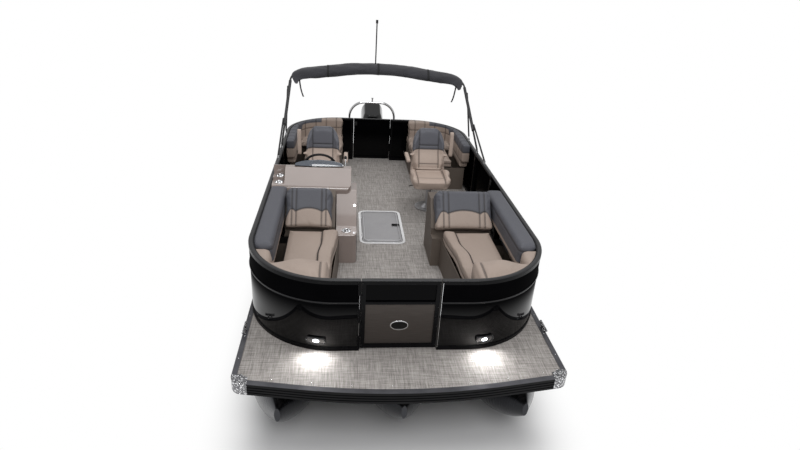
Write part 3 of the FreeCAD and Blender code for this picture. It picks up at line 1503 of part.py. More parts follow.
def whole_boat():
    nodes = {}
    nodes.update(hull())
    nodes.update(deck())
    nodes.update(gates_and_fence())
    nodes.update(docking_lights())
    nodes.update(floor_hatch())
    nodes.update(lounges())
    nodes["helm_console"] = helm()
    nodes["windscreen"] = windscreen()
    nodes["steering_wheel"] = steering_wheel()
    nodes.update(chairs())
    nodes["tow_arch"] = tow_arch()
    nodes.update(outboard())
    nodes["boarding_ladder"] = boarding_ladder()
    nodes.update(canopy())
    return nodes


parts = whole_boat()
extent = Part.makeCompound(list(parts.values())).optimalBoundingBox()
middle_y = (extent.YMin + extent.YMax) / 2
os.makedirs("parts", exist_ok=True)
for part_name in sorted(parts):
    part = parts[part_name].copy()
    part.translate(V(0, -middle_y, 0))
    part.exportStep("parts/" + part_name + ".step")
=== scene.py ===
import math

import bmesh
import bpy
from mathutils import Matrix, Vector, noise
from mathutils.bvhtree import BVHTree

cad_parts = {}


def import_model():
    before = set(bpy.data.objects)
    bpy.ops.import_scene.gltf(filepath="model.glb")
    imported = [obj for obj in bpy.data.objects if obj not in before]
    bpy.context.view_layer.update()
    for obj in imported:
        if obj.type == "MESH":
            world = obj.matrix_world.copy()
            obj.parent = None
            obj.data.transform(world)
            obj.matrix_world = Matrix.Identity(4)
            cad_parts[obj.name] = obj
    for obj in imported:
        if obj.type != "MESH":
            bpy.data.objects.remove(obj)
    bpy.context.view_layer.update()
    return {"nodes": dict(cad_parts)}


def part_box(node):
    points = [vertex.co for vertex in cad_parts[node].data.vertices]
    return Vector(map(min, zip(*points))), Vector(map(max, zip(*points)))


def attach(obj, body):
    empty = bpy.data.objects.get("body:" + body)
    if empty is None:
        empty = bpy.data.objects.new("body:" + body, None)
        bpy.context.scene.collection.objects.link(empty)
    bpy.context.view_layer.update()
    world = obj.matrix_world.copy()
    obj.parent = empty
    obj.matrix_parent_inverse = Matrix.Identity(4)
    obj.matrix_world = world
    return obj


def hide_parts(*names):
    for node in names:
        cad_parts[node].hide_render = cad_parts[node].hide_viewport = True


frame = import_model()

# The boat's own coordinates: x to port, y aft from the bow edge, h above the floor, in metres.
FLOOR = 0.786
LENGTH = 6.1
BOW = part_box("deck_trim")[1][1] - LENGTH
FENCE_TOP = 0.655
BACK_LEAN = math.radians(37)
MOTOR_TILT = math.radians(25)
MOTOR_PIN = (0, 6.35, -0.011)
CANOPY_PIN = (0, 3.72, 0.681)
HELM_CHAIR = (-0.745, 3.350)
MATE_CHAIR = (0.610, 3.420)
LOCKER = (-0.268, 0.205, 2.385, 3.233)
LID = (-0.262, 0.199, 2.391, 3.227)
UP, DOWN, AFT, PORT = (0, 0, 1), (0, 0, -1), (0, 1, 0), (1, 0, 0)


def at(x, y, h):
    return Vector((x, y + BOW, h + FLOOR))


def boat(point):
    """The boat's own coordinates of a point of the row frame."""
    return point[0], point[1] - BOW, point[2] - FLOOR


def screen(red, green, blue):
    """A colour as it shows on a screen, as the shader's linear numbers."""
    linear = []
    for value in (red, green, blue):
        value /= 255
        linear.append(value / 12.92 if value <= 0.04045 else ((value + 0.055) / 1.055) ** 2.4)
    return (*linear, 1.0)


def smooth(value, low, high):
    """0 below low, 1 above high and an even ramp between."""
    share = min(1.0, max(0.0, (value - low) / (high - low)))
    return share * share * (3 - 2 * share)


def add_node(tree, kind, feeds, **settings):
    """A node with its settings made first, then the links or values of its sockets."""
    made = tree.nodes.new(kind)
    for key, value in settings.items():
        setattr(made, key, value)
    for key, value in feeds.items():
        if isinstance(value, bpy.types.NodeSocket):
            tree.links.new(value, made.inputs[key])
        else:
            made.inputs[key].default_value = value
    return made


# Camera, floor and light

def camera():
    yaw, pitch, roll = math.radians(6.6833), math.radians(25.4571), math.radians(3.6473)
    ahead = Vector((math.sin(yaw) * math.cos(pitch), math.cos(yaw) * math.cos(pitch), -math.sin(pitch)))
    level = Vector((math.cos(yaw), -math.sin(yaw), 0))
    above = level.cross(ahead)
    right = math.cos(roll) * level + math.sin(roll) * above
    up = -math.sin(roll) * level + math.cos(roll) * above
    data = bpy.data.cameras.new("camera")
    data.sensor_width = 36
    data.lens = 543.24 / 800 * 36
    data.clip_end = 2000
    eye = bpy.data.objects.new("camera", data)
    turn = Matrix((right, up, -ahead)).transposed().to_4x4()
    eye.matrix_world = Matrix.Translation(at(-0.4849, -3.0248, 2.8206)) @ turn
    bpy.context.scene.collection.objects.link(eye)
    bpy.context.scene.camera = eye


class Value:
    """A shader value: Python arithmetic on it adds Math nodes."""

    def __init__(self, finish, socket):
        self.finish = finish
        self.socket = socket

    def math(self, operation, *others, clamp=False):
        return self.finish.node("ShaderNodeMath", {"operation": operation, "use_clamp": clamp},
                                dict(enumerate((self, *others))))

    def __add__(self, other):
        return self.math("ADD", other)

    def __sub__(self, other):
        return self.math("SUBTRACT", other)

    def __rsub__(self, other):
        return self.math("MULTIPLY_ADD", -1.0, other)

    def __mul__(self, other):
        return self.math("MULTIPLY", other)

    def __pow__(self, other):
        return self.math("POWER", other)

    __radd__ = __add__
    __rmul__ = __mul__

    def above(self, edge, width=0.0):
        """0 below an edge and 1 above it, over a width."""
        if not width:
            return self.math("GREATER_THAN", edge)
        reach = {"Value": self, "From Min": edge - width / 2, "From Max": edge + width / 2}
        return self.finish.node("ShaderNodeMapRange", {"interpolation_type": "SMOOTHSTEP"}, reach)


class Finish:
    """One material, built up as Python expressions."""

    def __init__(self, name, **constants):
        self.material = bpy.data.materials.new(name)
        self.material.use_nodes = True
        self.tree = self.material.node_tree
        self.tree.nodes.clear()
        self.output = self.tree.nodes.new("ShaderNodeOutputMaterial")
        self.shader = self.tree.nodes.new("ShaderNodeBsdfPrincipled")
        self.tree.links.new(self.shader.outputs[0], self.output.inputs[0])
        for key, value in constants.items():
            self.feed(self.shader.inputs[key.replace("_", " ")], value)

    def feed(self, socket, value):
        if isinstance(value, Value):
            self.tree.links.new(value.socket, socket)
        elif isinstance(value, (tuple, list)) and len(value) == 3 and socket.type == "RGBA":
            socket.default_value = (*value, 1.0)
        else:
            socket.default_value = value

    def node(self, kind, settings=None, feeds=None, out=0):
        node = self.tree.nodes.new(kind)
        for key, value in (settings or {}).items():
            setattr(node, key, value)
        for key, value in (feeds or {}).items():
            self.feed(node.inputs[key], value)
        return Value(self, node.outputs[out])

    def paint(self, **sockets):
        for key, value in sockets.items():
            self.feed(self.shader.inputs[key.replace("_", " ")], value)
        return self

    def place(self, scale=(1, 1, 1), shift=(0, 0, 0), turn=(0, 0, 0)):
        coordinates = self.node("ShaderNodeTexCoord", out=3)
        return self.node("ShaderNodeMapping", None,
                         {"Vector": coordinates, "Scale": scale, "Location": shift, "Rotation": turn})

    def axis(self, index):
        return self.node("ShaderNodeSeparateXYZ", None, {0: self.node("ShaderNodeTexCoord", out=3)}, out=index)

    def noise(self, scale, detail=2.0, rough=0.5, vector=None, warp=0.0):
        feeds = {"Vector": vector or self.place(), "Scale": scale, "Detail": detail, "Roughness": rough,
                 "Distortion": warp}
        return self.node("ShaderNodeTexNoise", None, feeds)

    def cells(self, scale, vector=None):
        return self.node("ShaderNodeTexVoronoi", None, {"Vector": vector or self.place(), "Scale": scale})

    def attribute(self, name):
        return self.node("ShaderNodeAttribute", {"attribute_name": name}, out=2)

    def mix(self, factor, first, second):
        return self.node("ShaderNodeMix", {"data_type": "RGBA"}, {0: factor, 6: first, 7: second}, out=2)

    def bump(self, height, distance, strength=1.0, under=None):
        feeds = {"Height": height, "Distance": distance, "Strength": strength}
        if under:
            feeds["Normal"] = under
        return self.node("ShaderNodeBump", None, feeds)


def stage_floor():
    finish = Finish("studio_floor", Roughness=0.9)
    finish.paint(Roughness=0.85 + 0.1 * finish.noise(3.0))
    glow = finish.node("ShaderNodeEmission", None, {"Color": (1, 1, 1, 1), "Strength": 1.0})
    seen = finish.node("ShaderNodeLightPath", out=0)
    shiny = finish.node("ShaderNodeLightPath", out=3)
    aside = (finish.axis(0).math("ABSOLUTE") - 1.0).math("MAXIMUM", 0.0) * 1.7
    beyond = ((finish.axis(1) + 0.1).math("ABSOLUTE") - 3.05).math("MAXIMUM", 0.0) * 1.45
    away = (aside * aside + beyond * beyond) ** 0.5
    share = seen.math("MAXIMUM", shiny) * away.above(0.62, 1.15)
    # Painted shadow: the floor's base colour is darker under and round the boat, deepening its cast shadow.
    finish.paint(Base_Color=finish.mix(away.above(0.45, 1.0), screen(194, 194, 195), screen(238, 238, 238)))
    both = finish.node("ShaderNodeMixShader", None, {0: share, 1: Value(finish, finish.shader.outputs[0]), 2: glow})
    finish.tree.links.new(both.socket, finish.output.inputs[0])
    mesh = bpy.data.meshes.new("studio_floor")
    reach = 600.0
    corners = [(x * reach, y * reach, -0.002) for x, y in ((-1, -1), (1, -1), (1, 1), (-1, 1))]
    mesh.from_pydata(corners, [], [(0, 1, 2, 3)])
    mesh.materials.append(finish.material)
    placed("studio_floor", mesh)


def world():
    data = bpy.data.worlds.new("studio")
    data.use_nodes = True
    tree = data.node_tree
    tree.nodes.clear()
    light, backdrop = [add_node(tree, "ShaderNodeBackground", {"Color": (1, 1, 1, 1), "Strength": level}).outputs[0]
                       for level in (0.62, 1.0)]
    path = tree.nodes.new("ShaderNodeLightPath").outputs
    either = add_node(tree, "ShaderNodeMath", {0: path["Is Camera Ray"], 1: path["Is Transmission Ray"]},
                      operation="MAXIMUM")
    both = add_node(tree, "ShaderNodeMixShader", {0: either.outputs[0], 1: light, 2: backdrop})
    add_node(tree, "ShaderNodeOutputWorld", {0: both.outputs[0]})
    bpy.context.scene.world = data


def lamp(name, place, aim, width, depth, power):
    data = bpy.data.lights.new(name, "AREA")
    data.shape = "RECTANGLE"
    data.size = width
    data.size_y = depth
    data.energy = power
    light = bpy.data.objects.new(name, data)
    light.location = place
    light.rotation_euler = (Vector(aim) - Vector(place)).to_track_quat("-Z", "Y").to_euler()
    bpy.context.scene.collection.objects.link(light)


def studio():
    scene = bpy.context.scene
    scene.view_settings.view_transform = "Standard"
    world()
    stage_floor()
    lamp("bow_softbox", (0.4, -7.6, 6.4), (0, -2.6, 0.8), 4.5, 2.6, 240)
    lamp("top_softbox", (0, 0.4, 7.5), (0, 0.6, 0.8), 4.5, 7.0, 170)
    for side in (-1, 1):
        lamp("docking_glow", at(side * 0.685, 0.455, 0.115), at(side * 0.70, 0.10, -0.06), 0.12, 0.03, 2.0)


# Mesh tools

def placed(name, mesh):
    piece = bpy.data.objects.new(name, mesh)
    bpy.context.scene.collection.objects.link(piece)
    return piece


def from_bmesh(name, shape, angle=40):
    """A piece from an open mesh, shaded smooth but for its edges over an angle."""
    mesh = bpy.data.meshes.new(name)
    shape.to_mesh(mesh)
    shape.free()
    mesh.shade_smooth()
    mesh.set_sharp_from_angle(angle=math.radians(angle))
    return placed(name, mesh)


def settled(piece):
    """Turns a piece's modifiers into its plain mesh."""
    depsgraph = bpy.context.evaluated_depsgraph_get()
    mesh = bpy.data.meshes.new_from_object(piece.evaluated_get(depsgraph), depsgraph=depsgraph)
    piece.modifiers.clear()
    piece.data = mesh
    return piece


def merged(mesh):
    """A mesh with its loose triangles joined."""
    shape = bmesh.new()
    shape.from_mesh(mesh)
    bmesh.ops.remove_doubles(shape, verts=shape.verts, dist=1e-5)
    return shape


def solids_of(node):
    """The closed solids of a CAD node as merged meshes, each with its lowest and highest corner."""
    shape = merged(frame["nodes"][node].data)
    found, seen = [], set()
    for vertex in shape.verts:
        if vertex in seen:
            continue
        island, queue = set(), [vertex]
        while queue:
            spot = queue.pop()
            if spot in island:
                continue
            island.add(spot)
            queue.extend(edge.other_vert(spot) for edge in spot.link_edges)
        seen |= island
        found.append(island)
    solids = []
    for island in found:
        part = bmesh.new()
        copies = {spot: part.verts.new(spot.co) for spot in island}
        for face in {face for spot in island for face in spot.link_faces}:
            part.faces.new([copies[spot] for spot in face.verts])
        corners = [spot.co.copy() for spot in part.verts]
        low = Vector([min(c[i] for c in corners) for i in range(3)])
        high = Vector([max(c[i] for c in corners) for i in range(3)])
        solids.append((part, low, high))
    shape.free()
    return solids


def cords(name, lines, radius, closed=False, sides=10):
    """Round beads or bars along lines of points, as one mesh."""
    curve = bpy.data.curves.new(name, "CURVE")
    curve.dimensions = "3D"
    curve.bevel_depth = radius
    curve.bevel_resolution = max(1, sides // 4)
    curve.use_fill_caps = True
    for points in lines:
        spline = curve.splines.new("POLY")
        spline.points.add(len(points) - 1)
        for spot, point in zip(spline.points, points):
            spot.co = (*point, 1)
        spline.use_cyclic_u = closed
    helper = placed(name, curve)
    depsgraph = bpy.context.evaluated_depsgraph_get()
    mesh = bpy.data.meshes.new_from_object(helper.evaluated_get(depsgraph), depsgraph=depsgraph)
    bpy.data.objects.remove(helper)
    mesh.shade_smooth()
    return placed(name, mesh)


def tube(name, points, radius, closed=False, sides=10):
    return cords(name, [points], radius, closed, sides)


def rounded(x0, x1, y0, y1, radius, steps=6):
    """A rounded rectangle's corners, anticlockwise."""
    ring = []
    for cx, cy, start in ((x1 - radius, y0 + radius, -90), (x1 - radius, y1 - radius, 0),
                          (x0 + radius, y1 - radius, 90), (x0 + radius, y0 + radius, 180)):
        for step in range(steps + 1):
            angle = math.radians(start + 90 * step / steps)
            ring.append((cx + radius * math.cos(angle), cy + radius * math.sin(angle)))
    return ring


def loft(shape, rings, closed=False):
    """Skins rings of vertices of the same count: caps the two ends, or joins the last ring to the first."""
    count = len(rings[0])
    for one, two in zip(rings, rings[1:] + (rings[:1] if closed else [])):
        for i in range(count):
            shape.faces.new((one[i], one[(i + 1) % count], two[(i + 1) % count], two[i]))
    if not closed:
        shape.faces.new(rings[0])
        shape.faces.new(list(reversed(rings[-1])))
    bmesh.ops.recalc_face_normals(shape, faces=shape.faces)
    return shape


def shrunk(outline, inset):
    """A rectangle's x and y spans, drawn in all round."""
    x0, x1, y0, y1 = outline
    return x0 + inset, x1 - inset, y0 + inset, y1 - inset


def slab(name, ring, low, high, place, bevel, hole=None):
    """A flat shape with a rounded top edge: ring is its outline, place(u, v, w) sets a point in the frame."""
    shape = bmesh.new()
    levels = [(low, 0.0), (high - bevel, 0.0)]
    for angle in (math.radians(30), math.radians(60), math.radians(90)):
        levels.append((high - bevel + bevel * math.sin(angle), bevel * (1 - math.cos(angle))))
    outward = []
    count = len(ring)
    for index in range(count):
        before, after = Vector(ring[index - 1]), Vector(ring[(index + 1) % count])
        along = (after - before).normalized()
        outward.append(Vector((along.y, -along.x)))
    rings = [[shape.verts.new(place(p[0] - n.x * inset, p[1] - n.y * inset, level)) for p, n in zip(ring, outward)]
             for level, inset in levels]
    if hole:
        rings += [[shape.verts.new(place(*p, level)) for p in hole] for level in (high, low)]
    return from_bmesh(name, loft(shape, rings, closed=bool(hole)))


def turned_part(name, profile, origin, direction, sides=32, capped=True):
    """A turned piece: profile is (radius, height) along direction from origin."""
    shape = bmesh.new()
    turn = Vector(UP).rotation_difference(Vector(direction)).to_matrix()
    rings = []
    for radius, height in profile:
        if radius < 1e-6:
            rings.append([shape.verts.new(origin + turn @ Vector((0, 0, height)))])
        else:
            angles = [2 * math.pi * i / sides for i in range(sides)]
            ring = [Vector((radius * math.cos(a), radius * math.sin(a), height)) for a in angles]
            rings.append([shape.verts.new(origin + turn @ spot) for spot in ring])
    for a, b in zip(rings, rings[1:]):
        for i in range(sides):
            j = (i + 1) % sides
            if len(a) == 1 and len(b) > 1:
                shape.faces.new((a[0], b[j], b[i]))
            elif len(b) == 1 and len(a) > 1:
                shape.faces.new((a[i], a[j], b[0]))
            elif len(a) > 1:
                shape.faces.new((a[i], a[j], b[j], b[i]))
    for ring, flip in ((rings[0], True), (rings[-1], False)):
        if len(ring) > 1 and capped:
            shape.faces.new(list(reversed(ring)) if flip else ring)
    bmesh.ops.recalc_face_normals(shape, faces=shape.faces)
    return from_bmesh(name, shape)


FINISH = {}


def material(finish):
    """The material of a finish, or of a finish's name."""
    return (FINISH[finish] if isinstance(finish, str) else finish).material


def dressed(piece, finish, body, slot=None, *nodes):
    """Gives a piece its finish and its body, and hides the CAD nodes it stands for."""
    piece.data.materials.clear()
    piece.data.materials.append(material(finish))
    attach(piece, body)
    if nodes:
        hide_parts(*nodes)
    return piece


def coat(finish, *nodes):
    """Gives CAD nodes a finish."""
    for node in nodes:
        piece = frame["nodes"][node]
        piece.data.materials.clear()
        piece.data.materials.append(material(finish))


# Finishes

def marine_vinyl(name, painted_light_lift=1.0):
    """Padded vinyl: tan or slate by the piece's own zone, with painted shade darkening its seams, and a fine grain.
    """
    # A lift above 1 makes a paler copy of every colour of this vinyl: painted light.
    def shade(red, green, blue):
        return screen(red * painted_light_lift, green * painted_light_lift, blue * painted_light_lift)

    finish = Finish(name, IOR=1.45, Specular_IOR_Level=0.4)
    zone = finish.attribute("zone")
    seam = finish.attribute("seam")
    broad = finish.noise(2.4, 3.0)
    fine = finish.noise(140.0, 2.0)
    tan = finish.mix(broad * 0.5 + fine * 0.5, shade(136, 121, 111), shade(170, 155, 145))
    slate = finish.mix(broad * 0.5 + fine * 0.5, shade(70, 71, 77), shade(92, 93, 100))
    colour = finish.mix(zone.above(0.5, 0.3), tan, slate)
    # Painted shade: the colour is darkened along the seams, where the grooves are.
    colour = finish.mix(seam * 0.75, colour, screen(40, 36, 34))
    grain = finish.cells(520.0)
    creases = finish.noise(26.0, 4.0, 0.55, warp=0.6)
    normal = finish.bump(creases, 0.004, 0.35)
    normal = finish.bump(grain, 0.0006, 0.55, normal)
    return finish.paint(Base_Color=colour, Normal=normal, Roughness=0.44 + 0.16 * fine)


def woven_floor():
    """Woven vinyl flooring: random threads both ways, over a fine basket weave."""
    finish = Finish("woven_floor", Specular_IOR_Level=0.25)
    along = finish.noise(1.0, 2.0, 0.6, finish.place((330, 11, 1)))
    across = finish.noise(1.0, 2.0, 0.6, finish.place((11, 330, 1), (3, 5, 0)))
    broad_along = finish.noise(1.0, 1.0, 0.5, finish.place((110, 4.5, 1), (7, 1, 0)))
    broad_across = finish.noise(1.0, 1.0, 0.5, finish.place((4.5, 110, 1), (1, 9, 0)))
    threads = (along + across) * 0.5 + (broad_along + broad_across - 1.0) * 0.36
    x = finish.axis(0)
    y = finish.axis(1)
    pitch = 2 * math.pi / 0.0045
    weave = (x * pitch).math("SINE") * (y * pitch).math("SINE")
    shade = (threads - 0.5) * 2.0 + 0.5 + weave * 0.10
    shade = shade.math("MULTIPLY", 1.0, clamp=True)
    colour = finish.mix(shade, screen(88, 84, 81), screen(196, 191, 187))
    stain = finish.noise(1.6, 3.0)
    colour = finish.mix(stain * 0.25, colour, screen(128, 121, 116))
    inboard = 1 - x.math("ABSOLUTE").above(1.2)
    strip = y.above(BOW + 2.937, 0.01) * (1 - y.above(BOW + 3.71, 0.01)) * x.above(0.21, 0.01)
    colour = finish.mix(strip * 0.22, colour, screen(84, 80, 76))
    for seam in (2.937, 3.71):
        line = (1 - (y - (BOW + seam)).math("ABSOLUTE").above(0.005, 0.004)) * inboard
        colour = finish.mix(line * 0.5, colour, screen(70, 66, 62) if seam < 3 else screen(180, 176, 170))
    height = weave * 0.5 + threads
    return finish.paint(Base_Color=colour, Roughness=0.62 + 0.2 * shade, Normal=finish.bump(height, 0.0012, 0.6))


def lacquer(name, colour, rough=0.1, low_gloss=False):
    """Gloss paint on sheet metal, with a light orange peel and a haze; low_gloss is glossiest low down at the bow."""
    finish = Finish(name, Specular_IOR_Level=0.0 if low_gloss else 0.3, Coat_Weight=0.4, Coat_Roughness=0.03)
    if low_gloss:
        bow = 1 - finish.axis(1).above(BOW + 1.6, 1.0)
        low = 1 - finish.axis(2).above(FLOOR + 0.33, 0.24)
        finish.paint(Coat_Weight=0.02 + low * (0.2 + bow * 0.5))
    haze = finish.noise(7.0, 4.0)
    peel = finish.noise(260.0, 1.0)
    base = finish.mix(haze, tuple(c * 0.6 for c in colour[:3]), tuple(min(1.0, c * 1.4) for c in colour[:3]))
    return finish.paint(Base_Color=base, Roughness=rough + 0.06 * haze, Normal=finish.bump(peel, 0.0002, 0.15))


def satin_black(name, level=22, rough=0.3, shine=0.3):
    finish = Finish(name, Specular_IOR_Level=shine)
    cloud = finish.noise(11.0, 3.0)
    grit = finish.noise(900.0, 1.0)
    base = finish.mix(cloud, screen(level, level, level + 1), screen(level + 9, level + 9, level + 11))
    return finish.paint(Base_Color=base, Roughness=rough + 0.12 * cloud, Normal=finish.bump(grit, 0.0003, 0.4))


def rub_rail_finish():
    """The deck's edge trim: black, with a painted highlight making its top lip grey."""
    finish = Finish("rub_rail", Specular_IOR_Level=0.12)
    cloud = finish.noise(11.0, 3.0)
    grit = finish.noise(900.0, 1.0)
    black = finish.mix(cloud, screen(6, 6, 7), screen(15, 15, 17))
    # Painted highlight: the top lip is painted lighter grey and a little metallic, as if lit from above.
    lip = finish.axis(2).above(FLOOR + 0.0035, 0.002)
    base = finish.mix(lip, black, finish.mix(cloud, screen(64, 64, 68), screen(96, 96, 100)))
    return finish.paint(Base_Color=base, Metallic=lip * 0.3, Roughness=0.26 + 0.12 * cloud,
                        Normal=finish.bump(grit, 0.0003, 0.4))


def brushed(name, colour, rough=0.3, stretch=(4, 4, 260)):
    """Brushed or rolled metal: fine lines along the short-scaled axes."""
    finish = Finish(name, Metallic=1.0)
    lines = finish.noise(1.0, 3.0, 0.6, finish.place(stretch))
    cloud = finish.noise(5.0, 3.0)
    base = finish.mix(lines * 0.6 + cloud * 0.4, tuple(c * 0.72 for c in colour[:3]), colour[:3])
    return finish.paint(Base_Color=base, Roughness=rough + 0.18 * lines, Normal=finish.bump(lines, 0.0003, 0.25))


def polished():
    finish = Finish("polished_stainless", Metallic=1.0)
    cloud = finish.noise(9.0, 2.0)
    return finish.paint(Base_Color=finish.mix(cloud, screen(205, 206, 208), screen(232, 232, 233)),
                        Roughness=0.07 + 0.09 * cloud, Normal=finish.bump(finish.noise(400.0), 0.0001, 0.15))


def moulded(name, dark, light, rough=0.5, gloss=0.0, speckle=300.0, relief=0.0004):
    """Moulded plastic or gelcoat with a fine texture."""
    finish = Finish(name, Specular_IOR_Level=0.45, Coat_Weight=gloss, Coat_Roughness=0.05)
    cloud = finish.noise(3.2, 3.0)
    grain = finish.noise(speckle, 2.0)
    base = finish.mix(cloud * 0.6 + grain * 0.4, dark, light)
    return finish.paint(Base_Color=base, Roughness=rough + 0.12 * grain, Normal=finish.bump(grain, relief, 0.4))


def canvas():
    finish = Finish("canopy_canvas", Sheen_Weight=0.25, Sheen_Roughness=0.5, Specular_IOR_Level=0.2)
    threads = finish.noise(1.0, 1.0, 0.5, finish.place((900, 900, 900)))
    dust = finish.noise(6.0, 4.0)
    base = finish.mix(dust * 0.7 + threads * 0.3, screen(34, 34, 37), screen(68, 68, 73))
    return finish.paint(Base_Color=base, Roughness=0.78 + 0.15 * threads, Normal=finish.bump(threads, 0.0006, 0.6))


def finishes():
    FINISH.update(
        vinyl=marine_vinyl("marine_vinyl"),
        # The chairs get a copy of the same vinyl painted 12 per cent paler: painted light, as if more light fell on
        # them.
        chair=marine_vinyl("chair_vinyl", 1.12),
        floor=woven_floor(),
        panel=lacquer("black_panel", screen(4, 4, 5), 0.07, True),
        rail=satin_black("black_rail", 4, 0.22, 0.1),
        edge=satin_black("rail_cap_black", 34, 0.26),
        trim=satin_black("fence_bead_black", 22, 0.3),
        rubber=satin_black("black_rubber", 16, 0.6),
        steel=polished(),
        canvas=canvas(),
        gelcoat=moulded("tan_gelcoat", screen(124, 112, 106), screen(146, 132, 126), 0.14, 1.0, 500.0, 0.0001),
        base=base_finish(),
        tube=brushed("tube_metal", screen(66, 67, 70), 0.16, (3, 180, 3)),
        bright=brushed("bright_frame", screen(236, 236, 238), 0.22, (90, 90, 4)),
        piping=satin_black("seat_piping", 30, 0.5),
        thread=moulded("seat_thread", screen(30, 28, 28), screen(48, 45, 44), 0.6),
        dial=dial_finish(),
        lit=lit_finish(),
        beam=brushed("beam_metal", screen(150, 151, 153), 0.4, (4, 160, 160)),
        cowl=lacquer("cowl_black", screen(16, 16, 17), 0.08),
        leg=satin_black("leg_black", 22, 0.3),
        sleeve=satin_black("leg_sleeve_black", 42, 0.45),
        brush=brushed("brushed_fittings", screen(190, 190, 192), 0.25))


def base_finish():
    """Moulded lounge bases: brown outside, and painted near black in the gap behind the bow seats, a painted shade.
    """
    finish = Finish("lounge_base_plastic", Specular_IOR_Level=0.3)
    cloud = finish.noise(3.2, 3.0)
    grain = finish.noise(300.0, 2.0)
    brown = finish.mix(cloud * 0.6 + grain * 0.4, screen(84, 76, 69), screen(106, 96, 88))
    # Painted shade: near black where the base shows in the gap behind the bow seats.
    gap = (finish.axis(0).math("ABSOLUTE").above(0.66, 0.04) * finish.axis(2).above(FLOOR + 0.25, 0.02)
           * (1 - finish.axis(1).above(BOW + 1.9, 0.05)))
    return finish.paint(Base_Color=finish.mix(gap, brown, screen(14, 13, 12)), Roughness=0.5 + 0.12 * grain,
                        Normal=finish.bump(grain, 0.0004, 0.4))


def casting_finish():
    """Corner castings: bright metal with a raised diamond tread, with painted glints on the diamonds and painted
    shade between them.
    """
    finish = Finish("casting_metal", Metallic=1.0)
    place = finish.place((1, 1, 1), turn=(0.5, 0.5, math.radians(45)))
    tread = 1 - finish.cells(72.0, vector=place).above(0.42, 0.3)
    cloud = finish.noise(30.0, 3.0)
    # Painted glints and painted shade: the raised diamonds are painted near white, the ground between them dark grey.
    base = finish.mix(tread * 0.75 + cloud * 0.25, screen(84, 84, 87), screen(246, 246, 248))
    return finish.paint(Base_Color=base, Roughness=0.12 + 0.2 * cloud, Normal=finish.bump(tread, 0.006, 1.0))


def gate_finish():
    """The bow gate's sheet: brushed bronze below the divider and gloss black above it."""
    finish = Finish("gate_bronze", Specular_IOR_Level=0.04, Coat_Weight=0.03, Coat_Roughness=0.12)
    lower = 1 - finish.axis(2).above(FLOOR + 0.44, 0.002)
    lines = finish.noise(1.0, 3.0, 0.6, finish.place((6, 6, 420)))
    bronze = finish.mix(lines, screen(54, 50, 48), screen(92, 86, 82))
    base = finish.mix(lower, screen(3, 3, 4), bronze)
    return finish.paint(Base_Color=base, Metallic=lower * 0.55, Roughness=0.12 + lower * 0.2,
                        Normal=finish.bump(lines, 0.0003, 0.3))


def hatch_finish():
    finish = Finish("hatch_lid_sheet", Specular_IOR_Level=0.35)
    mottle = finish.noise(75.0, 5.0, 0.7)
    cloud = finish.noise(6.0, 2.0)
    base = finish.mix(mottle * 0.7 + cloud * 0.3, screen(128, 127, 129), screen(172, 171, 173))
    return finish.paint(Base_Color=base, Roughness=0.5 + 0.2 * mottle, Normal=finish.bump(mottle, 0.0008, 0.5))


def locker_finish():
    """The tub is dark plastic, and its flange round the lid is bright metal."""
    finish = Finish("locker_tub", Specular_IOR_Level=0.5)
    rim = finish.axis(2).above(FLOOR + 0.0005)
    grain = finish.noise(300.0)
    base = finish.mix(rim, finish.mix(grain, screen(38, 36, 35), screen(54, 52, 50)), screen(240, 240, 241))
    return finish.paint(Base_Color=base, Metallic=rim * 0.45, Roughness=0.55 - rim * 0.36,
                        Normal=finish.bump(grain, 0.0003, 0.3))


def lens_finish():
    """Docking lamps, lit: a bright bar of diodes behind a clear lens in a dark bezel."""
    finish = Finish("docking_lens", Specular_IOR_Level=0.6, Coat_Weight=1.0, Emission_Strength=9.0)
    height = finish.axis(2)
    level = FLOOR + 0.100
    aside = (finish.axis(0).math("ABSOLUTE") - 0.685) * 0.62
    away = ((height - level) * (height - level) + aside * aside) ** 0.5
    lit = 1 - away.above(0.015, 0.006)
    cells = finish.cells(60.0)
    base = finish.mix(lit, screen(20, 20, 21), screen(235, 238, 242))
    glow = finish.mix(lit * (1 - cells.above(0.42, 0.3) * 0.5), (0, 0, 0, 1), screen(240, 246, 255))
    return finish.paint(Base_Color=base, Emission_Color=glow, Roughness=0.12 + 0.1 * cells)


def lit_finish():
    """Bright lamp domes."""
    finish = Finish("lit_lens", Specular_IOR_Level=0.6, Base_Color=screen(245, 246, 250), Emission_Strength=14.0)
    cells = finish.cells(260.0)
    return finish.paint(Emission_Color=finish.mix(cells, screen(255, 255, 255), screen(226, 236, 255)),
                        Roughness=0.1 + 0.1 * cells)


def dial_finish():
    """A gauge's black face with a ring of pale marks."""
    finish = Finish("gauge_dial", Specular_IOR_Level=0.5, Coat_Weight=1.0)
    across = finish.attribute("dial_u")
    up = finish.attribute("dial_v")
    reach = (across * across + up * up) ** 0.5
    turn = up.math("ARCTAN2", across) * (24 / (2 * math.pi))
    ticks = (turn.math("FRACT") - 0.5).math("ABSOLUTE").above(0.38, 0.05)
    ring = reach.above(0.74, 0.02) * (1 - reach.above(0.92, 0.02))
    needle = 1 - (across - up).math("ABSOLUTE").above(0.05, 0.03)
    needle = needle * (1 - reach.above(0.66, 0.02)) * up.above(0.0, 0.05)
    base = finish.mix(ticks * ring, screen(12, 12, 13), screen(214, 214, 210))
    base = finish.mix(needle, base, screen(196, 60, 30))
    return finish.paint(Base_Color=base, Roughness=0.2 + 0.1 * finish.noise(60.0))


def screen_finish():
    finish = Finish("tinted_screen", Specular_IOR_Level=0.7, Coat_Weight=1.0, Roughness=0.08)
    fade = finish.axis(2).above(FLOOR + 0.83, 0.07)
    scuff = finish.noise(40.0, 3.0)
    tint = finish.mix(scuff, screen(70, 76, 86), screen(96, 103, 114))
    return finish.paint(Base_Color=tint, Alpha=0.92 - fade * 0.1, Roughness=0.05 + scuff * 0.08)


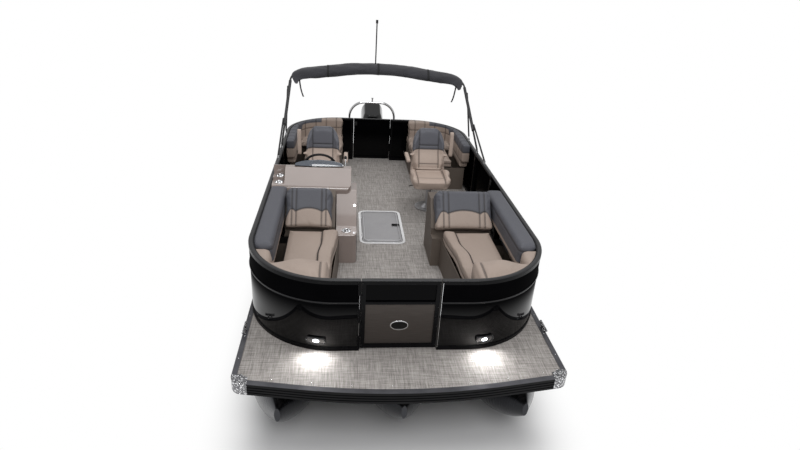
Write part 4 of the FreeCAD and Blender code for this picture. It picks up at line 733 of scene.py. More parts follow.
def coat_frame():
    coat("tube", "pontoon_port", "pontoon_centre", "pontoon_starboard", "motor_pod")
    coat("beam", "cross_members")
    coat("floor", "deck_board")
    coat(rub_rail_finish(), "deck_trim")
    coat(casting_finish(), "deck_fittings")
    coat("rail", "fence_frame_starboard", "fence_frame_port_fore", "fence_frame_port_aft", "bow_gate_frame")
    coat("panel", "fence_panels", "side_gate", "stern_gate")
    coat(gate_finish(), "bow_gate_panels")
    coat(lens_finish(), "docking_lights")
    coat(locker_finish(), "floor_locker")
    coat(hatch_finish(), "floor_hatch")
    coat("base", *[n for n in frame["nodes"] if "lounge" in n and n.endswith("_base")])
    coat("gelcoat", "helm_console")
    coat("rubber", "steering_wheel")
    coat("brush", "helm_chair_pedestal", "mate_chair_pedestal")
    coat("steel", "tow_arch", "boarding_ladder", "bimini_mounts")
    coat("leg", "outboard_clamp", "outboard_swivel", "outboard_leg", "propeller", "outboard_powerhead")
    coat("cowl", "outboard_cowl")
    coat(satin_black("canopy_tube_black", 20, 0.3), "bimini_bow", "bimini_front_struts", "bimini_rear_struts",
         "bimini_rear_rods", "light_mast")


# Rows of small parts

ROW = {}
PARTS = {}


def row_tree():
    """Geometry Nodes that set copies of a part along lines or at spots, each standing on the line's own facing."""
    tree = bpy.data.node_groups.new("row_of_parts", "GeometryNodeTree")
    ROW["tree"] = tree

    def socket(name, kind, default=None, way="INPUT"):
        made = tree.interface.new_socket(name, in_out=way, socket_type=kind)
        if default is not None:
            made.default_value = default
        ROW[name] = made.identifier

    def node(kind, feeds, **settings):
        return add_node(tree, kind, feeds, **settings)

    socket("Lines", "NodeSocketGeometry")
    socket("Part", "NodeSocketObject")
    socket("Along Lines", "NodeSocketBool", False)
    socket("Spacing", "NodeSocketFloat", 0.1)
    socket("Size", "NodeSocketFloat", 1.0)
    socket("Free Turn", "NodeSocketFloat", 0.0)
    socket("Seed", "NodeSocketInt", 7)
    socket("Finish", "NodeSocketMaterial")
    socket("Result", "NodeSocketGeometry", way="OUTPUT")
    given = tree.nodes.new("NodeGroupInput").outputs
    line = node("GeometryNodeMeshToCurve", {"Mesh": given["Lines"]})
    steps = node("GeometryNodeResampleCurve", {"Curve": line.outputs[0], "Length": given["Spacing"]}, mode="LENGTH")
    spots = node("GeometryNodeSwitch", {"Switch": given["Along Lines"], "False": given["Lines"],
                                        "True": steps.outputs[0]}, input_type="GEOMETRY")
    facing = node("GeometryNodeInputNamedAttribute", {"Name": "facing"}, data_type="FLOAT_VECTOR")
    stand = node("FunctionNodeAlignRotationToVector", {"Vector": facing.outputs[0]}, axis="Z")
    tangent = tree.nodes.new("GeometryNodeInputTangent")
    along = node("FunctionNodeAlignRotationToVector", {"Rotation": stand.outputs[0], "Vector": tangent.outputs[0]},
                 axis="X", pivot_axis="Z")
    chance = node("FunctionNodeRandomValue", {"Max": given["Free Turn"], "Seed": given["Seed"]}, data_type="FLOAT")
    twist = node("FunctionNodeAxisAngleToRotation", {"Angle": chance.outputs[1]})
    turned = node("FunctionNodeRotateRotation", {"Rotation": along.outputs[0], "Rotate By": twist.outputs[0]},
                  rotation_space="LOCAL")
    shape = node("GeometryNodeObjectInfo", {"Object": given["Part"]})
    copies = node("GeometryNodeInstanceOnPoints", {"Points": spots.outputs[0], "Instance": shape.outputs["Geometry"],
                                                   "Rotation": turned.outputs[0], "Scale": given["Size"]})
    real = node("GeometryNodeRealizeInstances", {"Geometry": copies.outputs[0]})
    done = node("GeometryNodeSetMaterial", {"Geometry": real.outputs[0], "Material": given["Finish"]})
    tree.links.new(done.outputs[0], tree.nodes.new("NodeGroupOutput").inputs["Result"])


def row(name, lines, part, finish, body, spacing=0.0, size=1.0, free_turn=0.0):
    """Copies of a part at even steps along lines of (point, facing); without a spacing, one at each point."""
    points, facing, edges = [], [], []
    for line in lines:
        first = len(points)
        points.extend(tuple(spot) for spot, _ in line)
        facing.extend(value for _, face in line for value in face)
        edges.extend((i, i + 1) for i in range(first, len(points) - 1))
    mesh = bpy.data.meshes.new(name)
    mesh.from_pydata(points, edges if spacing else [], [])
    mesh.attributes.new("facing", "FLOAT_VECTOR", "POINT").data.foreach_set("vector", facing)
    piece = placed(name, mesh)
    modifier = piece.modifiers.new("row", "NODES")
    modifier.node_group = ROW["tree"]
    for key, value in (("Part", PARTS[part]), ("Along Lines", bool(spacing)), ("Spacing", spacing or 1.0),
                       ("Size", size), ("Free Turn", free_turn), ("Finish", material(finish))):
        modifier[ROW[key]] = value
    settled(piece)
    piece.data.shade_smooth()
    piece.data.set_sharp_from_angle(angle=math.radians(35))
    return dressed(piece, finish, body)


def small_parts():
    """The heads that rows copy: screw, rivet, bolt, nub, diode, stitch, rib, rocker and slat."""
    def head(name, kind, profile, sides):
        PARTS[name] = turned_part(kind, profile, Vector((0, 0, 0)), UP, sides)

    head("screw", "screw_head", [(0.0045, 0), (0.0045, 0.001), (0.0033, 0.0022), (0.0016, 0.0025), (0.0014, 0.0013),
                                 (0, 0.0013)], 12)
    head("rivet", "rivet_head", [(0.0042, 0), (0.0037, 0.0014), (0.002, 0.0023), (0, 0.0026)], 10)
    head("bolt", "bolt_head", [(0.011, 0), (0.011, 0.0015), (0.0075, 0.0016), (0.0075, 0.0065), (0.006, 0.0075),
                               (0, 0.0075)], 6)
    head("nub", "rubber_nub", [(0.0042, 0), (0.0036, 0.0016), (0, 0.0022)], 10)
    head("diode", "lamp_diode", [(0.0085, 0), (0.0085, 0.002), (0.006, 0.005), (0, 0.0065)], 16)
    stitch = bmesh.new()
    bmesh.ops.create_cone(stitch, segments=5, radius1=0.0007, radius2=0.0007, depth=0.0048, cap_ends=True,
                          matrix=Matrix.Rotation(math.radians(90), 4, "Y"))
    PARTS["stitch"] = from_bmesh("thread_stitch", stitch)
    sizes = {"rib": (0.004, 0.060, 0.003), "rocker": (0.014, 0.026, 0.006), "slat": (0.006, 0.09, 0.004)}
    for name, size in sizes.items():
        block = bmesh.new()
        bmesh.ops.create_cube(block, size=1.0, matrix=Matrix.Diagonal((*size, 1.0)))
        bmesh.ops.translate(block, verts=block.verts, vec=(0, 0, size[2] / 2))
        bmesh.ops.bevel(block, geom=list(block.edges), offset=size[2] * 0.3, segments=2, affect="EDGES")
        PARTS[name] = from_bmesh(name + "_head", block)


def clear_small_parts():
    for part in PARTS.values():
        bpy.data.objects.remove(part)


def straight(start, end, face):
    """A line for a row between two points of the boat's coordinates."""
    return [(at(*start), face), (at(*end), face)]


def spots(points, face):
    """One-point lines for a row, one at each point of the boat's coordinates."""
    return [[(at(*point), face)] for point in points]


def around(x, y, h, radius, count, first=0.0):
    """Points at even steps round a circle, from an angle in degrees."""
    turns = [math.radians(first + 360 / count * k) for k in range(count)]
    return [(x + radius * math.cos(a), y + radius * math.sin(a), h) for a in turns]


# Trim and fittings

def fence_runs(inset):
    """The fence's three runs as plan lines: starboard, port ahead of the side gate, port behind it."""
    side, fore, aft, radius = 1.283 - inset, 0.5 + inset, 5.3 - inset, 0.75 - inset
    turns = [math.radians(90 * step / 24) for step in range(25)]
    bow = [(side - radius + radius * math.sin(a), fore + radius - radius * math.cos(a)) for a in turns]
    stern = [(side - radius + radius * math.cos(a), aft - radius + radius * math.sin(a)) for a in turns]
    starboard = [(-0.341, fore)] + [(-x, y) for x, y in bow + stern] + [(-0.338, aft)]
    return starboard, [(0.290, fore)] + bow + [(side, 2.41)], [(side, 2.87)] + stern + [(0.239, aft)]


def moulding(name, line, section, level, body="boat", finish="edge"):
    """A section of (outward, up) points swept along a plan line at a height above the floor."""
    shape = bmesh.new()
    rings = []
    for index, point in enumerate(line):
        before, after = Vector(line[max(index - 1, 0)]), Vector(line[min(index + 1, len(line) - 1)])
        along = (after - before).normalized()
        across = Vector((along.y, -along.x))
        rings.append([shape.verts.new(at(point[0] + across.x * a, point[1] + across.y * a, level + b))
                      for a, b in section])
    return dressed(from_bmesh(name, loft(shape, rings), angle=50), finish, body)


def domed(half, high):
    """A low dome section, for rail caps."""
    turns = [math.pi * step / 6 for step in range(7)]
    return [(half * math.cos(a), high * math.sin(a) ** 0.7) for a in turns]


def block(name, x, y, h, finish, body, bevel):
    """A box with softened edges between the given spans of the boat's coordinates."""
    shape = bmesh.new()
    bmesh.ops.create_cube(shape, size=1.0)
    low, high = at(x[0], y[0], h[0]), at(x[1], y[1], h[1])
    for spot in shape.verts:
        spot.co = Vector([low[i] if spot.co[i] < 0 else high[i] for i in range(3)])
    bmesh.ops.bevel(shape, geom=list(shape.edges), offset=bevel, segments=3, affect="EDGES", profile=0.5)
    return dressed(from_bmesh(name, shape), finish, body)


def section_loop(mesh, point, normal):
    """The outlines where a plane cuts a mesh, as ordered points, the longest last."""
    shape = merged(mesh)
    everything = [*shape.verts, *shape.edges, *shape.faces]
    cut = bmesh.ops.bisect_plane(shape, geom=everything, plane_co=point, plane_no=normal)["geom_cut"]
    edges = {item for item in cut if isinstance(item, bmesh.types.BMEdge)}
    loops = []
    while edges:
        edge = edges.pop()
        loop = [edge.verts[0], edge.verts[1]]
        while True:
            following = [e for e in loop[-1].link_edges if e in edges]
            if not following:
                break
            edges.discard(following[0])
            loop.append(following[0].other_vert(loop[-1]))
        loops.append([spot.co.copy() for spot in loop])
    shape.free()

    def reach(loop):
        return sum((b - a).length for a, b in zip(loop, loop[1:]))
    return sorted(loops, key=reach)


def weld(name, node, point, normal, radius, finish, body):
    """A bead round a CAD node where a plane cuts it, kept above the floor."""
    loop = section_loop(frame["nodes"][node].data, point, normal)[-1]
    if (loop[0] - loop[-1]).length < 1e-5:
        loop = loop[:-1]
    for spot in loop:
        spot.z = max(spot.z, radius)
    return dressed(tube(name, loop, radius, closed=True, sides=8), finish, body)


def rails():
    cap = domed(0.0185, 0.007)
    bead = domed(0.006, 0.005)
    side_bead = [(0.0, -0.006), (0.004, -0.0045), (0.0055, 0.0), (0.004, 0.0045), (0.0, 0.006)]
    names = ("starboard", "port_fore", "port_aft")
    for name, middle, face, inner in zip(names, fence_runs(0.020), fence_runs(0.0), fence_runs(0.041)):
        sign = 1 if name == "starboard" else -1
        moulding("rail_cap_" + name, middle, cap, FENCE_TOP)
        outward = [(-a * sign, b) for a, b in side_bead]
        moulding("fence_bead_" + name, face, outward, FENCE_TOP * 0.69 + 0.007, finish="trim")
        moulding("foot_bead_" + name, face, outward, 0.030, finish="rail")
        moulding("rail_welt_" + name, inner, bead, FENCE_TOP - 0.007, finish="rubber")
    for name, line, body in (("bow", [(-0.333, 0.520), (0.282, 0.520)], "bow_gate"),
                             ("stern", [(-0.330, 5.280), (0.231, 5.280)], "stern_gate_leaf"),
                             ("side", [(1.263, 2.418), (1.263, 2.862)], "side_gate_leaf")):
        moulding(name + "_gate_cap", line, cap, FENCE_TOP, body)
    for x in (-0.3465, 0.2955):
        block("bow_post_strip", (x - 0.0018, x + 0.0018), (0.4955, 0.5005), (0.03, 0.64), "steel", "boat", 0.0006)
    block("stern_post_strip", (0.2405, 0.2445), (5.297, 5.3035), (0.03, 0.64), "steel", "boat", 0.0006)
    block("stern_gap_seal", (-0.352, -0.3345), (5.3005, 5.303), (0.03, 0.645), "rubber", "boat", 0.0005)


def gate_fittings():
    """Latch cases, the bow latch's bolt, frame rivets and the blank oval plate of the bow gate."""
    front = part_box("bow_gate_panels")[0][1] - 0.0003
    ring, plate = [[(wide * math.cos(math.pi * k / 24), high * math.sin(math.pi * k / 24)) for k in range(48)]
                   for wide, high in ((0.074, 0.046), (0.066, 0.038))]
    centre = Vector((-0.0255, front, FLOOR + 0.235))
    turn = lambda u, v, w: centre + Vector((u, -w, v))
    dressed(slab("bow_gate_oval_rim", ring, 0.0, 0.004, turn, 0.0015, hole=plate), "steel", "bow_gate")
    dressed(slab("bow_gate_oval_plate", plate, 0.0, 0.002, turn, 0.0008), "panel", "bow_gate")
    block("bow_latch_case", (0.236, 0.276), (0.5405, 0.5525), (0.555, 0.615), "rubber", "bow_gate", 0.003)
    block("bow_latch_bolt", (0.244, 0.281), (0.5515, 0.5555), (0.578, 0.592), "steel", "bow_gate", 0.0012)
    block("stern_latch_case", (-0.322, -0.282), (5.2405, 5.2535), (0.555, 0.615), "rubber", "stern_gate_leaf", 0.003)
    block("side_latch_case", (1.232, 1.2405), (2.80, 2.84), (0.555, 0.615), "rubber", "side_gate_leaf", 0.003)
    for body, y, sides, facing in (("bow_gate", 0.4965, (-0.326, 0.272), (0, -1, 0)),
                                   ("stern_gate_leaf", 5.3005, (-0.316, 0.216), AFT)):
        places = [(x, y, h) for x in sides for h in (0.06, 0.24, 0.42, 0.635)]
        row(body + "_rivets", spots(places, facing), "rivet", "edge", body)


def docking_lamps():
    """Diode rows behind each lamp's lens, a bezel round it and its screws."""
    for shape, low, high in solids_of("docking_lights"):
        shape.free()
        middle = (low + high) / 2
        side = 1 if middle.x > 0 else -1
        lean = side * math.asin((0.685 - 0.533) / 0.75)
        out = Vector((math.sin(lean), -math.cos(lean), 0))
        right = Vector((math.cos(lean), math.sin(lean), 0))
        face = middle + out * 0.009
        spot = lambda u, v, w: face + right * u + Vector((0, 0, v)) + out * w
        outer, inner = rounded(-0.079, 0.079, -0.030, 0.030, 0.020), rounded(-0.070, 0.070, -0.021, 0.021, 0.014)
        dressed(slab("lamp_bezel", outer, -0.004, 0.0035, spot, 0.0015, hole=inner), "edge", "boat")
        row("lamp_diodes", [[(spot(u, 0, 0.0), out)] for u in (-0.012, 0.012)], "diode", "lit", "boat")
        row("lamp_screws", [[(spot(u, 0, 0.0035), out)] for u in (-0.0745, 0.0745)], "screw", "steel", "boat",
            free_turn=6.0, size=0.7)


def deck_fixings():
    """Screws of the deck's edge trim and lid flange, and the chair pedestals' bolts."""
    trim, flange = 0.0052, 0.0062
    lines = [straight((side * 1.274, 0.42, trim), (side * 1.274, 6.02, trim), UP) for side in (-1, 1)]
    row("edge_trim_screws", lines, "screw", "steel", "boat", 0.28, free_turn=6.0)
    deck_front = [(x, 0.082 + 0.143 * (abs(x) / 1.2) ** 2, trim)
                  for x in (-1.0, -0.7, -0.4, -0.1, 0.2, 0.5, 0.8, 1.1)]
    row("bow_trim_screws", spots(deck_front, UP), "screw", "steel", "boat", free_turn=6.0)
    ring = rounded(*shrunk(LOCKER, 0.012), 0.052, 1) + [(-0.03, 2.397), (-0.03, 3.221), (0.193, 2.81)]
    row("lid_flange_screws", spots([(x, y, flange) for x, y in ring], UP), "screw", "steel", "boat", free_turn=6.0,
        size=0.8)
    for chair in (HELM_CHAIR, MATE_CHAIR):
        row("pedestal_bolts", spots(around(*chair, 0.0142, 0.145, 6, 30), UP), "bolt", "steel", "boat", size=0.8)


def hatch_fittings():
    top = boat(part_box("floor_hatch")[1])[2]
    place = lambda u, v, w: at(0.152 + u, 2.830 + v, top + w)
    for name, outline, high, bevel, finish in (
            ("cup", (-0.052, 0.040, -0.026, 0.026, 0.012), 0.0012, 0.0005, "rubber"),
            ("grip", (-0.044, -0.030, -0.021, 0.021, 0.006), 0.0055, 0.002, "panel"),
            ("stem", (-0.034, 0.030, -0.006, 0.006, 0.005), 0.0045, 0.0015, "panel")):
        dressed(slab("lid_latch_" + name, rounded(*outline), 0.0, high, place, bevel), finish, "floor_lid")
    rim, inner = rounded(*shrunk(LID, 0.024), 0.040), rounded(*shrunk(LID, 0.031), 0.034)
    dressed(slab("lid_frame", rim, 0.0, 0.0015, lambda u, v, w: at(u, v, top + w), 0.0005, inner), "bright",
            "floor_lid")


def cup_liner(name, x, y, h, depth):
    """A stainless liner with a rolled rim and rubber nubs in its bottom."""
    bottom = 0.001 - depth
    profile = [(0.0400, -0.002), (0.0495, 0.0), (0.0510, 0.0022), (0.0480, 0.0042), (0.0410, 0.0030), (0.0388, 0.0),
               (0.0380, bottom + 0.005), (0.0340, bottom), (0, bottom)]
    dressed(turned_part(name, profile, at(x, y, h), UP, 40, capped=False), "steel", "boat")
    pad = [(0.033, 0.0), (0.033, 0.002), (0, 0.002)]
    dressed(turned_part(name + "_mat", pad, at(x, y, h + bottom), UP, 32), "rubber", "boat")
    top = h + bottom + 0.002
    row(name + "_nubs", spots(around(x, y, top, 0.021, 6) + [(x, y, top)], UP), "nub", "rubber", "boat")


def helm_fittings():
    """Dash gauges, display, switches and throttle."""
    slope = math.radians(30)
    dash = lambda u, v, w: at(u, 2.685 + math.sin(slope) * v + math.cos(slope) * w,
                              0.80 - math.cos(slope) * v + math.sin(slope) * w)
    normal = Vector((0, math.cos(slope), math.sin(slope)))
    for x in (-0.930, -0.560):
        face = dash(x, 0.075, 0.0)
        bezel = [(0.047, 0), (0.047, 0.006), (0.044, 0.009), (0.040, 0.009), (0.039, 0.004), (0, 0.004)]
        dressed(turned_part("gauge_bezel", bezel, face, normal, 40), "steel", "boat")
        dial = turned_part("gauge_face", [(0.0385, 0.0042), (0.0385, 0.0046), (0, 0.0046)], face, normal, 40)
        for label, axis in (("dial_u", Vector(PORT)), ("dial_v", Vector((0, -math.sin(slope), math.cos(slope))))):
            layer = dial.data.attributes.new(label, "FLOAT", "POINT")
            layer.data.foreach_set("value", [(spot.co - face).dot(axis) / 0.0385 for spot in dial.data.vertices])
        dressed(dial, "dial", "boat")
    up_dash = lambda u, v, w: dash(u, -v, w)
    dressed(slab("dash_display", rounded(-1.165, -1.000, -0.120, -0.022, 0.010), 0.0, 0.010, up_dash, 0.003),
            "rubber", "boat")
    dressed(slab("dash_display_glass", rounded(-1.156, -1.009, -0.113, -0.029, 0.006), 0.010, 0.0108, up_dash,
                 0.0004), "cowl", "boat")
    row("dash_switches", [[(dash(-1.150 + 0.028 * k, 0.165, 0.0), normal)] for k in range(6)], "rocker", "rubber",
        "boat")
    dressed(slab("throttle_case", rounded(-0.492, -0.432, -0.150, -0.050, 0.020), 0.0, 0.045, up_dash, 0.010),
            "rubber", "boat")
    foot, head = dash(-0.462, 0.095, 0.040), dash(-0.462, 0.040, 0.150)
    dressed(tube("throttle_lever", [foot, (foot + head) / 2 + normal * 0.004, head], 0.007), "steel", "boat")
    knob = [(0.008, -0.018), (0.0155, -0.013), (0.0165, 0.010), (0.011, 0.020), (0, 0.022)]
    dressed(turned_part("throttle_knob", knob, head, normal, 20), "rubber", "boat")


def console_fittings():
    """Cup liners, the pod's dark edge bead, partly painted shade, its courtesy light and the tinted windscreen in its
    foot.
    """
    cup_liner("console_cup_fore", -1.165, 2.490, 0.670, 0.090)
    cup_liner("console_cup_aft", -1.165, 2.605, 0.700, 0.090)
    cup_liner("pod_cup", -0.446, 2.020, 0.330, 0.075)
    corner = ((2.285, 0.449), (2.122, 0.306), (1.992, 0.302), (1.978, 0.290), (1.974, 0.004))
    # A dark bead down the pod's port edge to the floor: partly trim, partly painted shade along that edge.
    dressed(tube("pod_edge_bead", [at(-0.3405, y, h) for y, h in corner], 0.0038, sides=12), "piping", "boat")
    dressed(turned_part("courtesy_light", [(0.011, 0), (0.011, 0.002), (0.008, 0.004), (0, 0.005)],
                        at(-0.362, 2.300, 0.4945), (0, -0.65, 0.76), 20), "lit", "boat")
    glass = bmesh.new()
    rings, lip = [], []
    for step in range(33):
        u = step / 16 - 1
        foot, high = 2.618 + 0.016 * u * u, 0.026 + 0.044 * (1 - u * u) ** 0.8
        lip.append((-0.745 + 0.262 * u, foot + 0.003))
        rings.append([glass.verts.new(at(-0.745 + 0.26 * u, foot + 0.5 * level * high + away, 0.8005 + level * high))
                      for level, away in ((0, 0), (0.94, 0), (1, 0.003), (0.94, 0.006), (0, 0.006))])
    dressed(from_bmesh("tinted_windscreen", loft(glass, rings)), screen_finish(), "boat", "windscreen_tint",
            "windscreen")
    section = [(-0.008, 0), (0.008, 0), (0.007, 0.007), (0.002, 0.010), (-0.007, 0.007)]
    moulding("windscreen_foot", lip, section, 0.80, finish="rubber")


def aft_fittings():
    """Weld beads on the tubes, the arch's fixings, the motor's seams and louvres, and the ladder's treads."""
    for node in ("pontoon_port", "pontoon_starboard", "pontoon_centre"):
        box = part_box(node)
        for share in (0.158, 0.36, 0.57, 0.78):
            y = box[0][1] + (box[1][1] - box[0][1]) * share
            weld(node + "_seam", node, Vector((0, y, 0)), Vector(AFT), 0.004, "beam", "boat")
    back = Vector((0, math.cos(MOTOR_TILT), math.sin(MOTOR_TILT)))
    axis = Vector((0, -math.sin(MOTOR_TILT), math.cos(MOTOR_TILT)))

    def motor(u, v, w):
        return at(*MOTOR_PIN) + Vector(PORT) * u + back * v + axis * w

    weld("cowl_skirt_seam", "outboard_cowl", motor(0, 0, 0.125), axis, 0.005, "leg", "motor")
    weld("cowl_upper_line", "outboard_cowl", motor(0, 0, 0.452), axis, 0.0025, "steel", "motor")
    louvres = [[(motor(0.0, 0.4525 - 0.00012 * k * k, 0.20 + 0.02 * k), back)] for k in range(9)]
    row("cowl_louvres", louvres, "slat", "leg", "motor")
    for side in (-1, 1):
        feet = [(-0.05 + side * 0.352 + 0.033 * dx, 5.45 + 0.033 * dy, 0.0082)
                for dx, dy in ((1, 0), (-1, 0), (0, 1), (0, -1))]
        row("arch_foot_bolts", spots(feet, UP), "screw", "steel", "boat", free_turn=6.0)
    top = boat(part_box("boarding_ladder")[1])[2]
    for index in range(3):
        y = LENGTH - 0.573 + 0.16 * index
        row("ladder_tread_ribs", [straight((0.655, y, top), (0.905, y, top), UP)], "rib", "rubber", "ladder", 0.012,
            size=0.55)


# Upholstery

TREES = {}
SEWN = {}
PIPED = {}
STITCH_STEP = 0.0078
SEAM_STEP = 0.025
PIPING = 0.0028
SEAM, SHOULDER = 0.0065, 0.016
PRESSURE = 4.0
FILLING_FRAMES = 20


def skim(piece, points, direction, lift=0.0):
    """Where points of the boat's coordinates, sent along a direction, meet a piece: (point, facing) pairs."""
    if piece.name not in TREES:
        TREES[piece.name] = BVHTree.FromPolygons([spot.co for spot in piece.data.vertices],
                                                 [face.vertices for face in piece.data.polygons])
    line = []
    for point in points:
        hit, normal, _, _ = TREES[piece.name].ray_cast(at(*point), Vector(direction))
        if hit:
            line.append((hit + normal * lift, normal))
    return line


def span(start, end):
    """Points between two points of the boat's coordinates."""
    start, end = Vector(start), Vector(end)
    count = max(2, int((end - start).length / SEAM_STEP))
    return [tuple(start.lerp(end, i / count)) for i in range(count + 1)]


def sew(piece, body, points, direction):
    line = skim(piece, points, direction, 0.0004)
    if len(line) > 1:
        SEWN.setdefault(body, []).append(line)


def sew_beside(piece, body, start, end, aside, direction, gap=0.0075):
    """A row of stitches on each side of a seam."""
    for way in (-1, 1):
        move = Vector(aside) * (gap * way)
        sew(piece, body, span(Vector(start) + move, Vector(end) + move), direction)


def pipe(piece, body, points, direction, lift=0.001):
    line = [spot for spot, _ in skim(piece, points, direction, lift)]
    if len(line) > 1:
        PIPED.setdefault(body, []).append(line)


def sewing():
    """The stitches and piping of each body, one mesh each."""
    for body, lines in SEWN.items():
        row(body + "_stitches", lines, "stitch", "thread", body, STITCH_STEP)
    for body, lines in PIPED.items():
        dressed(cords(body + "_piping", lines, PIPING, sides=6), "piping", body)


def puff(piece, cap, held):
    """Lets cloth pressure fill a closed piece, by cap at most; held(point) is true where it rests on something."""
    start = [spot.co.copy() for spot in piece.data.vertices]
    group = piece.vertex_groups.new(name="held")
    group.add([i for i, co in enumerate(start) if held(co)], 1.0, "REPLACE")
    cloth = piece.modifiers.new("filling", "CLOTH")
    cloth.settings.quality = 4
    cloth.settings.mass = 0.35
    cloth.settings.tension_stiffness = 10
    cloth.settings.compression_stiffness = 10
    cloth.settings.shear_stiffness = 6
    cloth.settings.bending_stiffness = 0.8
    cloth.settings.air_damping = 3
    cloth.settings.use_pressure = True
    cloth.settings.uniform_pressure_force = PRESSURE
    cloth.settings.effector_weights.gravity = 0
    cloth.settings.vertex_group_mass = "held"
    cloth.collision_settings.use_collision = False
    cloth.point_cache.frame_start = 1
    cloth.point_cache.frame_end = FILLING_FRAMES
    for step in range(1, FILLING_FRAMES + 1):
        bpy.context.scene.frame_set(step)
    depsgraph = bpy.context.evaluated_depsgraph_get()
    filled = piece.evaluated_get(depsgraph).data
    moves = [after.co - before for after, before in zip(filled.vertices, start)]
    piece.modifiers.clear()
    piece.vertex_groups.clear()
    bpy.context.scene.frame_set(1)
    for spot, before, move in zip(piece.data.vertices, start, moves):
        spot.co = before + (move * (cap / move.length) if move.length > cap else move)


def evened(piece, voxel, rounds):
    """A piece's mesh made even and smoothed in rounds, open for changes."""
    remesh = piece.modifiers.new("even", "REMESH")
    remesh.mode = "VOXEL"
    remesh.voxel_size = voxel
    remesh.adaptivity = 0
    settled(piece)
    even = bmesh.new()
    even.from_mesh(piece.data)
    for _ in range(rounds):
        bmesh.ops.smooth_vert(even, verts=even.verts, factor=0.5, use_axis_x=True, use_axis_y=True, use_axis_z=True)
    even.normal_update()
    return even


def refined(piece):
    """Subdivides a piece's mesh once."""
    divide = piece.modifiers.new("fine", "SUBSURF")
    divide.levels = 1
    divide.render_levels = 1
    return settled(piece)


def upholster(name, shape, body, nodes=(), voxel=0.0145, cap=0.012, shrink=0.006, sculpt=None, seams=(), zone=None,
              held=None, slot="tan_vinyl", rounds=3, finish="vinyl"):
    """Makes a padded piece from a CAD solid: even mesh, sculpted, filled by cloth pressure, sewn and coloured.

    sculpt(point, normal) gives a move, each seam is (distance, depth) and zone(point) tells slate from tan, all in
    the boat's own coordinates."""
    piece = from_bmesh(name, shape)
    even = evened(piece, voxel, rounds)
    low = min(spot.co.z for spot in even.verts)
    for spot in even.verts:
        spot.co -= spot.normal * shrink
    if sculpt:
        moves = [sculpt(boat(spot.co), spot.normal) for spot in even.verts]
        for spot, move in zip(even.verts, moves):
            spot.co += Vector(move)
    even.to_mesh(piece.data)
    even.free()
    piece.data.update()
    puff(piece, cap, held or (lambda co: co.z < low + shrink + 0.004))
    mesh = refined(piece).data
    normals = [spot.normal.copy() for spot in mesh.vertices]
    seam_shade_values, zone_values = [], []
    for spot, normal in zip(mesh.vertices, normals):
        where = boat(spot.co)
        seam_shade_share = 0.0
        for distance, depth in seams:
            gap = distance(where, normal)
            if gap is not None and abs(gap) < 0.03:
                share = math.exp(-(gap / SEAM) ** 2)
                wide = math.exp(-(gap / SHOULDER) ** 2)
                spot.co -= normal * (depth * (share * 0.6 + wide * 0.4))
                seam_shade_share = max(seam_shade_share, share)
        seam_shade_values.append(seam_shade_share)
        zone_values.append(zone(where) if zone else 0.0)
    # The seam attribute carries painted shade: the vinyl is painted darker along each seam.
    for label, values in (("seam", seam_shade_values), ("zone", zone_values)):
        mesh.attributes.new(label, "FLOAT", "POINT").data.foreach_set("value", values)
    mesh.shade_smooth()
    dressed(piece, finish, body, slot, *nodes)
    return piece


def sided(side, function):
    """The same line on either side: x counts outward."""
    return lambda p, n: function((p[0] * side, p[1], p[2]), (n[0] * side, n[1], n[2]))


